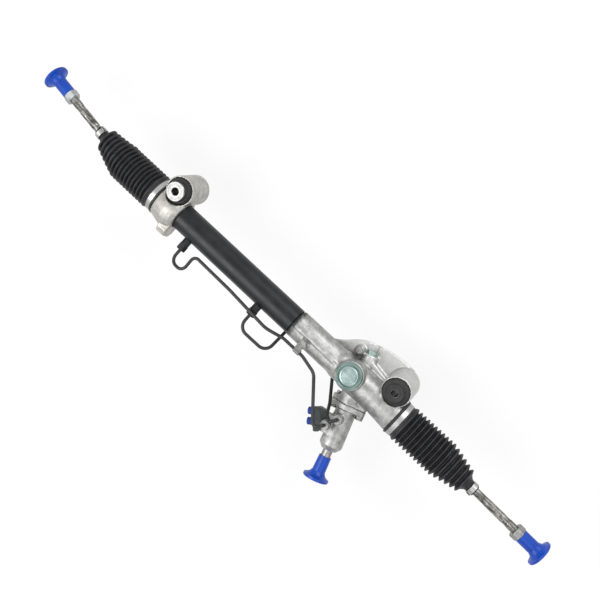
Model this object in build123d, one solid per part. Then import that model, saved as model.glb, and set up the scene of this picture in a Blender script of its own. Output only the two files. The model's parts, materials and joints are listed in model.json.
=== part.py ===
from build123d import *
import os
from math import cos, degrees, pi, radians, sin, sqrt, tan

# Hydraulic rack-and-pinion steering gear, in millimetres.
# It is modelled in the rack's frame: X along the rack towards the gear end, Z up along the rack
# guide, Y across, with the mounting bosses on +Y and the steering input on -Y. That frame's origin
# is where the guide's axis meets the rack's. The finished pieces are moved at the end, so that the
# part's own origin is the centre of the gear-side mounting bush.

# Fits
running_fit = 0.05        # radial, between pieces that slide or turn on each other
seat_fit = 0.02           # radial, between pieces that stay together
air_gap = 0.3             # between pieces that move apart
edge_break = 1.0          # chamfer of turned ends

# Rack bar, its ball joints and stroke
rack_dia = 25.0
travel = 70.0             # each way from straight ahead
ball_spacing = 708.0
left_ball_x = -508.0
right_ball_x = left_ball_x + ball_spacing
socket_reach = 24.0       # from the ball's centre to the rack's end
stud_dia = 14.0
stud_length = 18.0
rack_left_x = left_ball_x + socket_reach
rack_right_x = right_ball_x - socket_reach

# Housing ends, where the sockets stop and the bellows sit
stop_depth = 20.0         # the end housing's stop lies this deep in its nose
end_stop_x = rack_left_x + travel + air_gap
end_nose_x = end_stop_x - stop_depth
gear_nose_x = rack_right_x - travel - air_gap
seat_length = 12.0
seat_dia = 53.0
stop_bore_dia = 40.0
stopper_spigot_dia = 46.0
stopper_spigot_length = 5.0

# Cylinder
tube_dia = 45.0
tube_wall = 2.0
tube_bore = tube_dia - 2 * tube_wall
tube_seat_length = 10.0
spigot_dia = 41.0
spigot_length = 22.0
end_inner_x = end_nose_x + 56.0
tube_left_x = end_inner_x - tube_seat_length
gear_neck_x = -122.0
piston_x = -265.0
piston_width = 14.0
left_union_x = -344.0
right_union_x = -185.6

# Rack support and seals
bush_wall = 3.0
bush_length = 12.0
seal_length = 6.0
inner_seal_x = gear_neck_x - 32.0

# Castings
barrel_dia = 47.0
gear_body_dia = 51.0
gear_mouth_dia = 58.6
end_body_dia = 71.0
casting_bore = rack_dia + 2.0

# Mounting bosses and bushes
boss_tilt = 14.0          # the bosses lean back from the rack guide's axis
boss_y = 37.5
boss_length = 62.6
boss_dia = 50.0
bush_dia = 45.0            # in the counterbore at each face of its boss
bush_waist_dia = 36.0      # between the counterbores
counterbore_depth = 8.0
sleeve_dia = 20.0
sleeve_bore = 12.3
sleeve_back = 0.7         # how far a sleeve stands out of its boss at the back
end_boss_x = end_nose_x + 33.5
gear_boss_x = 69.0
end_sleeve_front = 15.5   # how far the end bush's sleeve stands out in front
gear_sleeve_front = 8.0
rubber_skin = 1.0          # over the gear-side sleeve's front end
collar_dia = 32.0
collar_thickness = 3.0

# Rack teeth and pinion. The rack's teeth are square to it, so the pinion's helix is the shaft angle.
module = 2.1
pinion_teeth = 7
pressure_angle = 20.0
shaft_angle = 17.85
profile_shift = 0.5
backlash = 0.12
rack_tooth_depth = 3.8
rack_flat = 3.4           # from the bar's lowest line up to the tooth tips
rack_gaps_left = 12
rack_gaps_right = 12
mesh_x = 15.0             # where the pinion's axis passes under the rack
tooth_face = 34.0
pitch = pi * module
rack_tip_z = -rack_dia / 2 + rack_flat
rack_root_z = rack_tip_z + rack_tooth_depth
rack_reference_z = rack_tip_z + 1.67
transverse_module = module / cos(radians(shaft_angle))
pinion_pitch_radius = transverse_module * pinion_teeth / 2
pinion_z = rack_reference_z - pinion_pitch_radius - profile_shift * module
pinion_tip_radius = rack_root_z - pinion_z - 0.4
pinion_root_radius = rack_tip_z - pinion_z - 0.4

# Along the pinion's axis, from the point under the rack towards the steering input
nose_end_s = -45.0
journal_end_s = -41.0
needle_start_s = -38.0
needle_length = 12.0
bearing_start_s = 22.0
bearing_width = 10.0
pinion_seal_s = 34.0
flange_s = 34.0
flange_face_s = 42.0
valve_flange_thickness = 9.0
cup_start_s = 42.5
cup_end_s = 58.0
sleeve_start_s = 58.5
sleeve_end_s = 100.0
valve_bore_end_s = 104.0
upper_bearing_s = 104.5
upper_bearing_length = 8.0
input_seal_s = 114.0
valve_cone_s = 113.0
valve_end_s = 121.5
cap_start_s = 133.0
cap_end_s = 173.0
shaft_end_s = 164.0
serration_s = 140.0

# Pinion set diameters
journal_dia = 12.0
needle_outer_dia = 18.0
bearing_bore = 17.0
bearing_outer_dia = 35.0
cup_dia = 22.0
sleeve_outer_dia = 26.9
sleeve_inner_dia = 19.0
valve_bore = 27.0
input_shaft_dia = 16.0
serration_dia = 15.0
torsion_bar_dia = 5.2
torsion_head_dia = 7.0
nose_dia = 27.0
pinion_body_dia = 40.0
valve_body_start_dia = 34.0
valve_body_dia = 38.0
valve_end_dia = 24.0
flange_bolt_spread = 25.0
flange_bolt_turn = 20.0
flange_lug_radius = 7.0
flange_bolt_dia = 8.0
input_lash = 4.0          # the input shaft twists this far against the pinion, each way
tongue_width = 9.0
tongue_span = 14.0
tongue_start_s = 48.0
tongue_slot_s = 47.0        # floor of the slot that the tongue turns in
torsion_bore_s = 28.0
torsion_bar_start_s = 29.0
torsion_head_end_s = 44.0
torsion_taper = 3.0
torsion_neck_end_s = 146.0
valve_slot_s = 79.0
valve_slot_length = 30.0
valve_slot_width = 4.0
valve_slot_height = 2.4
block_pad_start_s = 66.0    # the valve housing's pad under the port block
block_pad_end_s = 98.0

# Rack guide
guide_dia = 32.0
guide_top_z = 26.0
guide_low_z = 5.0
liner_thickness = 0.6
guide_boss_dia = 47.0
guide_boss_top_z = 34.0
plug_thread_dia = 36.0
plug_low_z = 27.5
lock_ring_dia = 40.5
lock_ring_top_z = 40.0
plug_crown_dia = 31.0
plug_crown_z = 46.0
spring_wire = 2.6
spring_dia = 14.0

# Pipes and unions
pipe_dia = 5.5
union_flats = 14.0
union_length = 11.0
union_shank_dia = 10.0
union_shank_length = 7.0
union_boss_dia = 14.6
union_boss_height = 9.0
upper_port = (67.5, -4.6)      # along and beside the pinion's axis
lower_port = (83.7, -19.5)
port_boss_dia = 17.0
port_face_z = 9.0

# Port block and its plugs, on the valve housing's side
block_face = -24.0
block_low = -4.0               # below and above the pinion's axis
block_high = 20.0
hose_port_dia = 10.0
hose_port_depth = 13.0
hose_port_spacing = 16.6
plug_head_dia = 12.4
plug_head_length = 10.0
plug_tip_chamfer = 1.2
plug_stem_length = 9.0
plug_rib_height = 0.6
plug_head_chamfer = 1.5
port_rim = 1.2              # how far the port block's rims stand out

# Tie rods
ball_dia = 24.0
seat_wall = 2.45
socket_dia = 35.0
socket_mouth = 9.0
neck_dia = 11.0
rod_dia = 13.0
flats_dia = 15.0
flats_across = 13.0
flats_start = 84.0
flats_end = 121.0
thread_dia = 14.0
thread_start = 128.0
thread_end = 186.0
left_nut_start = 146.3
right_nut_start = 143.0
nut_length = 12.0
nut_flats = 22.0
cap_length = 42.0
cap_dia = 22.4
cap_flange_dia = 44.6
left_yaw = 7.7
right_yaw = 1.7
floor_z = -36.5

# Bellows
crest_dia = 64.0
groove_depth = 5.4
full_crests = 11
small_crests = 5
last_crest_dia = 43.0
bellows_wall = 2.0
bellows_neck = 12.0
collar_length = 12.0
collar_wall = 2.6
lip_dia = 62.0
lip_length = 4.0
clamp_thickness = 0.9
large_clamp_width = 7.5
small_clamp_width = 8.0
left_grip = 63.5          # from the ball to the bellows' collar, along the rod
right_grip = 47.5

# Small fasteners
web_bolt = (-17.8, 36.8)
bracket_bolt_x = -86.7
bracket_bolt_y = -15.0
bracket_pipe = (-88.7, -31.0, 10.0)


def frame(origin, axis, up):
    # A place whose own X runs along axis and whose own Z is up.
    return Plane(origin=origin, x_dir=axis, z_dir=up).location


def turned(*outline):
    # A piece turned about X, from its closed outline of (along, radius) corners.
    return revolve(make_face(Polyline(*outline, close=True)), Axis.X)


def rod(start, end, radius, bevel=0.0):
    if bevel == 0:
        return turned((start, 0), (start, radius), (end, radius), (end, 0))
    return turned(
        (start, 0),
        (start, radius - bevel),
        (start + bevel, radius),
        (end - bevel, radius),
        (end, radius - bevel),
        (end, 0),
    )


def ring(start, end, inner, outer):
    return turned((start, inner), (start, outer), (end, outer), (end, inner))


def hexagon(start, end, across_flats):
    # A hexagon prism along X with its corners turned off at both ends.
    section = Plane.YZ * RegularPolygon(across_flats / 2, 6, major_radius=False)
    prism = extrude(Pos(start, 0, 0) * section, end - start, dir=(1, 0, 0))
    crown = across_flats / 2 + across_flats * 0.02
    corner = across_flats * 0.6
    drop = (corner - crown) * 0.6
    envelope = turned(
        (start, 0),
        (start, crown),
        (start + drop, corner),
        (end - drop, corner),
        (end, crown),
        (end, 0),
    )
    return prism & envelope


def slab(outline, start, end, plane=Plane.XY):
    # A flat piece of the outline's shape, from start to end along the plane's normal.
    face = make_face(Polyline(*outline, close=True))
    moved = plane.offset(start) * face
    return extrude(moved, end - start, dir=plane.z_dir)


lean = radians(boss_tilt)
turn = radians(shaft_angle)
along_pinion = (sin(turn), -cos(turn), 0)
beside_pinion = (cos(turn), sin(turn), 0)
pinion_place = frame((mesh_x, 0, pinion_z), along_pinion, (0, 0, 1))
guide_place = frame((0, 0, 0), (0, 0, 1), (0, -1, 0))
boss_axis = (0, -sin(lean), cos(lean))


def boss_place(x):
    return frame((x, boss_y, 0), boss_axis, (1, 0, 0))


def pinion_point(s, t, z=0.0):
    # A point s along the pinion's axis and t beside it, at the rack frame's height z.
    x = mesh_x + s * along_pinion[0] + t * beside_pinion[0]
    y = s * along_pinion[1] + t * beside_pinion[1]
    return (x, y, z)


# Tie rod directions: at rest the left one is level and the right one's end is just off the floor.
right_cap_end = right_nut_start + nut_length + cap_length
right_droop = (-floor_z - air_gap - cap_flange_dia / 2) / right_cap_end


def rod_axes(side):
    # The rod's direction and the direction square to it, up, for side -1 (left) or 1 (right).
    yaw = radians(left_yaw if side < 0 else right_yaw)
    across = sin(yaw) if side < 0 else -sin(yaw)
    droop = 0 if side < 0 else right_droop
    level = sqrt(1 - droop ** 2)
    axis = (side * cos(yaw) * level, across * level, -droop)
    up = (side * cos(yaw) * droop, across * droop, level)
    return axis, up


def ball_x(side):
    return left_ball_x if side < 0 else right_ball_x


def nut_start(side):
    return left_nut_start if side < 0 else right_nut_start


def rod_place(side):
    axis, up = rod_axes(side)
    return frame((ball_x(side), 0, 0), axis, up)


def socket_place(side):
    return frame((ball_x(side), 0, 0), (side, 0, 0), (0, 0, 1))


# Rack and piston

def rack_bar():
    bar = rod(rack_left_x, rack_right_x, rack_dia / 2, edge_break)
    for side, end_x in ((-1, rack_left_x), (1, rack_right_x)):
        hole = rod(-stud_length - edge_break, edge_break, stud_dia / 2 + seat_fit)
        bar -= frame((end_x, 0, 0), (side, 0, 0), (0, 0, 1)) * hole
    return bar - rack_gaps()


def rack_gaps():
    # The flat under the bar and the gaps between the teeth, as one comb cut across it.
    below = -rack_dia
    slope = tan(radians(pressure_angle))
    middle = pitch / 2
    tip_half = (middle + 2 * (rack_reference_z - rack_tip_z) * slope) / 2
    root_half = (middle - 2 * (rack_root_z - rack_reference_z) * slope) / 2
    first = mesh_x - rack_gaps_left * pitch
    last = mesh_x + rack_gaps_right * pitch
    outline = [(first - pitch, below), (first - pitch, rack_tip_z)]
    for gap in range(rack_gaps_left + rack_gaps_right + 1):
        x = first + gap * pitch
        outline.append((x - tip_half, rack_tip_z))
        outline.append((x - root_half, rack_root_z))
        outline.append((x + root_half, rack_root_z))
        outline.append((x + tip_half, rack_tip_z))
    outline.append((last + pitch, rack_tip_z))
    outline.append((last + pitch, below))
    return slab(outline, -rack_dia, rack_dia, Plane.XZ)


def piston():
    half = piston_width / 2
    outer = tube_bore / 2 - air_gap
    groove = outer - 2.5
    return turned(
        (piston_x - half, rack_dia / 2 + seat_fit),
        (piston_x - half, outer - edge_break),
        (piston_x - half + edge_break, outer),
        (piston_x - 2.5, outer),
        (piston_x - 2.5, groove),
        (piston_x + 2.5, groove),
        (piston_x + 2.5, outer),
        (piston_x + half - edge_break, outer),
        (piston_x + half, outer - edge_break),
        (piston_x + half, rack_dia / 2 + seat_fit),
    )


def piston_ring():
    inner = tube_bore / 2 - air_gap - 2.5 + seat_fit
    return ring(piston_x - 2.4, piston_x + 2.4, inner, tube_bore / 2 - running_fit)


# Cylinder

def cylinder_tube():
    body = turned(
        (tube_left_x, tube_bore / 2),
        (tube_left_x, tube_dia / 2),
        (gear_neck_x - 1.5, tube_dia / 2),
        (gear_neck_x, spigot_dia / 2),
        (gear_neck_x + spigot_length, spigot_dia / 2),
        (gear_neck_x + spigot_length, spigot_dia / 2 - tube_wall),
        (gear_neck_x - tube_wall, spigot_dia / 2 - tube_wall),
        (gear_neck_x - 2 * tube_wall, tube_bore / 2),
    )
    for x in (left_union_x, right_union_x):
        body -= Pos(x, -tube_dia / 2, 0) * Rot(90, 0, 0) * Cylinder(2.0, 4 * tube_wall)
    return body


def union_place(x):
    return frame((x, 0, 0), (0, -1, 0), (0, 0, 1))


def union_bosses():
    # The two bosses brazed to the tube, hollowed to its outside.
    reach = tube_dia / 2 + union_boss_height
    boss = rod(tube_dia / 2 - 3, reach, union_boss_dia / 2) - rod(0, reach, union_shank_dia / 2 + seat_fit)
    outside = rod(tube_left_x, gear_neck_x, tube_dia / 2 + seat_fit)
    pieces = []
    for x in (left_union_x, right_union_x):
        pieces.append(union_place(x) * boss - outside)
    return Compound(children=pieces)


def union_nut():
    # Hexagon from 0 to its length, with its shank below 0.
    body = hexagon(0, union_length, union_flats)
    body += rod(-union_shank_length, 0, union_shank_dia / 2)
    return body - rod(-union_shank_length, union_length, pipe_dia / 2 + seat_fit)


def cylinder_union_nuts():
    face = tube_dia / 2 + union_boss_height
    nut = Pos(face, 0, 0) * union_nut()
    return Compound(children=[union_place(x) * nut for x in (left_union_x, right_union_x)])


def port_place(port):
    x, y, z = pinion_point(port[0], port[1], port_face_z)
    return frame((x, y, z), (0, 0, 1), (0, -1, 0))


def valve_union_nuts():
    return Compound(children=[port_place(port) * union_nut() for port in (upper_port, lower_port)])


def pipe(points, radii):
    # A steel pipe along straight runs joined by arcs.
    path = FilletPolyline(*points, radius=radii)
    start = Plane(origin=points[0], z_dir=Vector(*points[1]) - Vector(*points[0]))
    return sweep(start * Circle(pipe_dia / 2), path=path)


union_pipe_y = -(tube_dia / 2 + union_boss_height - union_shank_length)
port_pipe_z = port_face_z - union_shank_length
pipe_top_z = 28.5


def left_turn_pipe():
    end_x, end_y, _ = pinion_point(*lower_port)
    held_x, held_y, held_z = bracket_pipe
    points = [
        (left_union_x, union_pipe_y, 0),
        (left_union_x, held_y - 35, 0),
        (left_union_x + 29, held_y - 35, 9),
        (left_union_x + 28.5, held_y - 1, 12),
        (left_union_x + 110, held_y - 2.3, 13),
        (held_x - 61.3, held_y - 7.5, 13),
        (held_x - 29.3, held_y + 0.2, 11),
        (held_x - 12, held_y, held_z),
        (held_x + 12, held_y, held_z),
        (held_x + 43.7, held_y - 7, 12),
        (end_x - 11, end_y - 13.5, pipe_top_z - 1),
        (end_x, end_y, pipe_top_z),
        (end_x, end_y, port_pipe_z),
    ]
    return pipe(points, [13, 13, 9, 60, 60, 30, 20, 40, 22, 7, 7])


def right_turn_pipe():
    end_x, end_y, _ = pinion_point(*upper_port)
    low_z = -barrel_dia / 2 - 7
    points = [
        (right_union_x, union_pipe_y, 0),
        (right_union_x, union_pipe_y - 45, 0),
        (gear_neck_x - 5, union_pipe_y - 45.5, -8),
        (gear_neck_x - 5, union_pipe_y + 2.5, -22),
        (gear_neck_x + 10, -5, low_z),
        (gear_neck_x + 70, -3, low_z),
        (end_x - 55.5, end_y + 41.5, -25),
        (end_x - 27.5, end_y + 8.5, -6),
        (end_x - 17.5, end_y - 4.5, 16),
        (end_x - 6.5, end_y - 9.5, pipe_top_z - 2.5),
        (end_x, end_y, pipe_top_z),
        (end_x, end_y, port_pipe_z),
    ]
    return pipe(points, [16, 16, 14, 12, 30, 20, 12, 10, 5, 6])


# Castings

def boss_blank(x):
    half = boss_length / 2
    return boss_place(x) * rod(-half, half, boss_dia / 2, edge_break)


def boss_bore(x):
    # Narrow through the middle, so that it clears the cylinder, and counterbored at both faces.
    half = boss_length / 2
    step = half - counterbore_depth
    bore = rod(-half, half, bush_waist_dia / 2 + seat_fit)
    bore += rod(-half - 20, -step, bush_dia / 2 + seat_fit) + rod(step, half + 20, bush_dia / 2 + seat_fit)
    return boss_place(x) * bore


def end_stopper():
    # Screwed into the end housing. The bellows is clamped on it, and the socket runs into it.
    shoulder = end_nose_x + seat_length
    return turned(
        (end_nose_x, stop_bore_dia / 2),
        (end_nose_x, seat_dia / 2 - edge_break),
        (end_nose_x + edge_break, seat_dia / 2),
        (shoulder, seat_dia / 2),
        (shoulder, stopper_spigot_dia / 2),
        (shoulder + stopper_spigot_length, stopper_spigot_dia / 2),
        (shoulder + stopper_spigot_length, stop_bore_dia / 2),
    )


def end_housing():
    shoulder = end_nose_x + seat_length
    body = turned(
        (shoulder, 0),
        (shoulder, end_body_dia / 2 - 5),
        (end_boss_x, end_body_dia / 2),
        (end_inner_x - 14, end_body_dia / 2),
        (end_inner_x - 6, end_body_dia / 2 - 2),
        (end_inner_x, end_body_dia / 2 - 7),
        (end_inner_x, 0),
    )
    foot = slab(
        [(0, -18), (0, 18), (-36, 18), (-44, 11), (-44, -11), (-36, -18)],
        end_inner_x - 18,
        end_inner_x,
        Plane.YZ,
    )
    body = body + foot + boss_blank(end_boss_x)
    body -= rod(end_nose_x - 1, shoulder, lip_dia / 2 + air_gap)
    body -= boss_bore(end_boss_x)
    body -= rod(shoulder - 1, shoulder + stopper_spigot_length, stopper_spigot_dia / 2 + seat_fit)
    body -= rod(shoulder, end_stop_x, stop_bore_dia / 2)
    body -= rod(end_stop_x, tube_left_x, rack_dia / 2 + bush_wall + seat_fit)
    body -= rod(tube_left_x - seal_length, tube_left_x, rack_dia / 2 + 2 * bush_wall + seat_fit)
    body -= rod(tube_left_x, end_inner_x, tube_dia / 2 + seat_fit)
    return body


def rack_bush():
    inner = rack_dia / 2 + running_fit
    return ring(end_stop_x, end_stop_x + bush_length - air_gap, inner, rack_dia / 2 + bush_wall)


def rack_seals():
    # A lip seal at each end of the cylinder, with its hollow side towards the oil.
    inner = rack_dia / 2 + running_fit
    outer = rack_dia / 2 + 2 * bush_wall
    end_seal = turned(
        (tube_left_x - seal_length, inner + 1.5),
        (tube_left_x - seal_length, outer),
        (tube_left_x, outer),
        (tube_left_x, outer - 1.5),
        (tube_left_x - 3, outer - 2.5),
        (tube_left_x - 1, inner),
        (tube_left_x - 3, inner),
    )
    carrier = tube_bore / 2 - seat_fit
    inner_seal = turned(
        (inner_seal_x, inner),
        (inner_seal_x, carrier),
        (inner_seal_x + 12, carrier),
        (inner_seal_x + 12, inner + 2),
        (inner_seal_x + 6, inner + 2),
        (inner_seal_x + 4, inner),
    )
    return Compound(children=[end_seal, inner_seal])


def flange_plate(start, end):
    # The oval plate with two bolt lugs, along the pinion's axis.
    lug_turn = radians(flange_bolt_turn)
    u = flange_bolt_spread * cos(lug_turn)
    v = flange_bolt_spread * sin(lug_turn)
    lugs = Pos(u, v) * Circle(flange_lug_radius) + Pos(-u, -v) * Circle(flange_lug_radius)
    outline = make_hull((lugs + Circle(pinion_body_dia / 2 + 0.3)).edges())
    return extrude(Plane.YZ.offset(start) * outline, end - start, dir=(1, 0, 0))


def flange_bolt_place(side):
    lug_turn = radians(flange_bolt_turn)
    u = side * flange_bolt_spread * cos(lug_turn)
    v = side * flange_bolt_spread * sin(lug_turn)
    return pinion_place * Pos(0, u, v)


def flange_holes(radius, start, end):
    hole = rod(start, end, radius)
    return flange_bolt_place(1) * hole + flange_bolt_place(-1) * hole


def gear_barrel():
    shoulder = gear_nose_x - seat_length
    return turned(
        (gear_neck_x, 0),
        (gear_neck_x, tube_dia / 2),
        (gear_neck_x + 2, barrel_dia / 2),
        (-34, barrel_dia / 2),
        (-26, gear_body_dia / 2),
        (56, gear_body_dia / 2),
        (60, gear_body_dia / 2 + 1),
        (shoulder, gear_mouth_dia / 2),
        (shoulder, seat_dia / 2),
        (gear_nose_x - edge_break, seat_dia / 2),
        (gear_nose_x, seat_dia / 2 - edge_break),
        (gear_nose_x, 0),
    )


def gear_web():
    # The gusset that carries the gear-side boss, low along the barrel.
    edge = Spline((-74, 16), (-45, 33.5), (-27, 50), (5, 63), (36, 69), (gear_boss_x, 70))
    sides = Polyline((gear_boss_x, 70), (gear_boss_x + 12, 20), (-74, 0), (-74, 16))
    face = make_face(edge.edges() + sides.edges())
    return extrude(Pos(0, 0, -31) * face, 6)


def gear_ribs():
    # The raised line along the barrel's top, with its pocket beside the guide, and the wall
    # between the nose and the gear-side boss.
    top = slab([(-118, -4), (-118, 4), (-20, 4.5), (-20, -4.5)], barrel_dia / 2 - 3, barrel_dia / 2 + 2)
    top -= slab([(-56, -2), (-56, 2), (-26, 2), (-26, -2)], barrel_dia / 2 - 1, barrel_dia / 2 + 4)
    wall = slab([(10, 30), (12, 37), (44, 32), (52, 20), (46, 18)], -29, -3)
    side = slab([(-60, -21), (-30, -24), (-20, 0), (-60, 0)], -6, 2)
    return top + wall + side


def gear_bosses():
    bolt_seat = Pos(web_bolt[0], web_bolt[1], -15) * Cylinder(8, 26)
    seat_height = 16
    bracket_seat = Pos(bracket_bolt_x, bracket_bolt_y, bracket_top_z - seat_height / 2) * Cylinder(7, seat_height)
    return bolt_seat + bracket_seat


def guide_boss():
    r = guide_boss_dia / 2
    outline = [(0, 0), (0, r + 3), (14, r + 3), (22, r), (guide_boss_top_z - 1, r), (guide_boss_top_z, r - 1)]
    return guide_place * turned(*outline, (guide_boss_top_z, 0))


def pinion_body():
    r = pinion_body_dia / 2
    body = turned(
        (nose_end_s, 0),
        (nose_end_s, nose_dia / 2 - 1),
        (nose_end_s + 1, nose_dia / 2),
        (-24, nose_dia / 2),
        (-18, r),
        (flange_s, r),
        (flange_s, 0),
    )
    return pinion_place * (body + flange_plate(flange_s, flange_face_s))


def gear_housing():
    body = gear_barrel() + guide_boss() + pinion_body() + gear_web()
    body = body + gear_ribs() + gear_bosses() + boss_blank(gear_boss_x)
    body -= ring(gear_nose_x - seat_length, gear_nose_x, seat_dia / 2, lip_dia / 2 + air_gap)
    body -= boss_bore(gear_boss_x)
    body -= pinion_place * rod(nose_end_s - 20, nose_end_s, 12)
    body -= rod(gear_neck_x, gear_neck_x + spigot_length + 0.5, spigot_dia / 2 + seat_fit)
    body -= rod(gear_neck_x, gear_nose_x, casting_bore / 2)
    body -= guide_place * rod(0, guide_boss_top_z, guide_dia / 2 + seat_fit)
    body -= guide_place * rod(plug_low_z, guide_boss_top_z, plug_thread_dia / 2 + seat_fit)
    body -= pinion_place * rod(needle_start_s - 7, 0, needle_outer_dia / 2 + seat_fit)
    body -= pinion_place * rod(-19, 21.5, 12)
    body -= pinion_place * rod(21.5, flange_face_s, bearing_outer_dia / 2 + seat_fit)
    body -= flange_holes(flange_bolt_dia / 2 - 0.7 + seat_fit, flange_s - 6, flange_face_s)
    body -= Pos(web_bolt[0], web_bolt[1], -10) * Cylinder(4 + seat_fit, 20)
    body -= Pos(bracket_bolt_x, bracket_bolt_y, bracket_top_z - 7.5) * Cylinder(3 + seat_fit, 16)
    return body


def valve_housing():
    body = flange_plate(flange_face_s, flange_face_s + valve_flange_thickness)
    body += turned(
        (flange_face_s, 0),
        (flange_face_s, valve_body_start_dia / 2),
        (flange_face_s + valve_flange_thickness, valve_body_start_dia / 2),
        (valve_cone_s - 6, valve_body_dia / 2),
        (valve_cone_s, valve_body_dia / 2),
        (valve_end_s, valve_end_dia / 2),
        (valve_end_s, 0),
    )
    pad_outline = [
        (block_pad_start_s, block_face),
        (block_pad_start_s, 0),
        (block_pad_end_s, 0),
        (block_pad_end_s, block_face),
    ]
    pad = slab(pad_outline, block_low + 2, block_high - 4)
    body = pinion_place * (body + pad)
    for port in (upper_port, lower_port):
        boss = rod(pinion_z - port_face_z, 0, port_boss_dia / 2, edge_break)
        body += port_place(port) * boss
    body -= pinion_place * rod(flange_face_s, valve_bore_end_s, valve_bore / 2)
    body -= pinion_place * rod(valve_bore_end_s, valve_end_s, input_shaft_dia / 2 + 3 + seat_fit)
    for port in (upper_port, lower_port):
        body -= port_place(port) * rod(-union_shank_length - 1, 0, union_shank_dia / 2 + seat_fit)
        body -= port_place(port) * rod(-port_face_z - 6, 0, 1.8)
    body -= flange_holes(flange_bolt_dia / 2 + seat_fit, flange_face_s, flange_face_s + 20)
    return body


def valve_housing_bolts():
    # Two hexagon bolts through the valve housing's flange into the gear housing.
    head = flange_face_s + valve_flange_thickness
    bolt = hexagon(head, head + 6, 11.5) + rod(head, head + 1.5, 7)
    bolt += rod(flange_face_s, head, flange_bolt_dia / 2)
    bolt += rod(flange_s - 5, flange_face_s, flange_bolt_dia / 2 - 0.7)
    return Compound(children=[flange_bolt_place(side) * bolt for side in (1, -1)])


# Ports for the pump's hoses

block_corners = [(63, -39), (65, block_face), (99, block_face), (103, -33), (96, -36.5), (67, -46.5)]
face_run = Vector(96 - 67, -36.5 + 46.5, 0).normalized()
face_out = (face_run.Y, -face_run.X, 0)
face_middle = ((96 + 67) / 2, (-36.5 - 46.5) / 2)


def hose_place(side):
    # Centre of a hose port on the block's outer face, looking outwards.
    s = face_middle[0] + side * hose_port_spacing / 2 * face_run.X
    t = face_middle[1] + side * hose_port_spacing / 2 * face_run.Y
    return pinion_place * frame((s, t, (block_low + block_high) / 2), face_out, (0, 0, 1))


def port_block():
    block = slab(block_corners, block_low, block_high)
    block = chamfer(block.edges().filter_by(Axis.Z), 1.5)
    block = pinion_place * block
    block -= port_place(lower_port) * rod(-40, 5, port_boss_dia / 2 + seat_fit)
    for side in (-1, 1):
        block += hose_place(side) * rod(-2, port_rim, hose_port_dia / 2 + 3)
    for side in (-1, 1):
        block -= hose_place(side) * rod(-hose_port_depth, 2, hose_port_dia / 2)
    return block


def hose_plug(side):
    # A moulded plug with a ribbed stem and a domed head.
    stem = hose_port_dia / 2 - running_fit
    head = plug_head_dia / 2
    groove = stem - plug_rib_height
    start = port_rim + air_gap
    end = start + plug_head_length
    return hose_place(side) * turned(
        (-plug_stem_length, 0),
        (-plug_stem_length, stem - plug_tip_chamfer),
        (2 - plug_stem_length, stem),
        (3 - plug_stem_length, groove),
        (-3, stem),
        (-2, groove),
        (start, groove),
        (start, head),
        (end - plug_head_chamfer, head),
        (end, head - plug_head_chamfer),
        (end, 0),
    )


# Mounting bushes

def bush_rubber(x, reach, front_dia):
    # The rubber fills the boss and steps up round its inner sleeve.
    half = boss_length / 2
    step = half - counterbore_depth + seat_fit
    rim = bush_dia / 2
    body = turned(
        (-half, sleeve_dia / 2 + seat_fit),
        (-half, rim - 3),
        (-half + 3, rim),
        (-step, rim),
        (-step, bush_waist_dia / 2),
        (step, bush_waist_dia / 2),
        (step, rim),
        (half - 1, rim),
        (half + 0.2 * reach, rim - 1.5),
        (half + 0.45 * reach, rim - 2),
        (half + 0.55 * reach, front_dia / 2 + 1),
        (half + reach, front_dia / 2),
        (half + reach, sleeve_dia / 2 + seat_fit),
    )
    return boss_place(x) * body


def end_bush_rubber():
    return bush_rubber(end_boss_x, end_sleeve_front - collar_thickness - seat_fit, collar_dia + 1)


def gear_bush_rubber():
    # This one has a skin over the front end of its sleeve.
    face = boss_length / 2 + gear_sleeve_front
    outer = sleeve_dia / 2 + 4.5
    skin = ring(face - 1, face + rubber_skin, sleeve_dia / 2 + seat_fit, outer)
    skin += ring(face + seat_fit, face + rubber_skin, sleeve_bore / 2 + air_gap, outer)
    return bush_rubber(gear_boss_x, gear_sleeve_front - 1, 2 * outer) + boss_place(gear_boss_x) * skin


def bush_sleeve(x, front, collar):
    half = boss_length / 2
    face = half + front
    body = ring(-half - sleeve_back, face, sleeve_bore / 2, sleeve_dia / 2)
    if collar:
        body += ring(face - collar_thickness, face, sleeve_bore / 2, collar_dia / 2)
    return boss_place(x) * body


# Pinion set

def tooth_section():
    # The pinion's transverse section: involute flanks on a root circle.
    alpha = radians(degrees_of_transverse_pressure())
    base = pinion_pitch_radius * cos(alpha)
    involute = tan(alpha) - alpha
    thick = pi * transverse_module / 2 + 2 * profile_shift * module * tan(alpha) - backlash
    half_angle = thick / (2 * pinion_pitch_radius)
    edges = []
    for tooth in range(pinion_teeth):
        centre = pi / 2 + tooth * 2 * pi / pinion_teeth
        flank = []
        for step in range(4):
            r = base + 0.02 + (pinion_tip_radius - base - 0.02) * step / 3
            pressure = sqrt((r / base) ** 2 - 1)
            local = pressure - (pressure_arc(r, base))
            flank.append((r, half_angle + involute - local))
        start = polar(pinion_root_radius, centre + flank[0][1])
        end = polar(pinion_root_radius, centre - flank[0][1])
        left = [polar(r, centre + a) for r, a in flank]
        right = [polar(r, centre - a) for r, a in flank]
        edges.append(Line(start, left[0]))
        edges.append(Spline(*left))
        edges.append(Line(left[-1], right[-1]))
        edges.append(Spline(*right[::-1]))
        edges.append(Line(right[0], end))
        behind = centre - 2 * pi / pinion_teeth + flank[0][1]
        edges.append(Line(end, polar(pinion_root_radius, behind)))
    wires = Wire.combine([edge.edge() for edge in edges], tol=1e-4)
    return Face(wires[0])


def degrees_of_transverse_pressure():
    return degrees_from_tan(tan(radians(pressure_angle)) / cos(turn))


def degrees_from_tan(value):
    return Vector(1, 0, 0).get_angle(Vector(1, value, 0))


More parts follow.
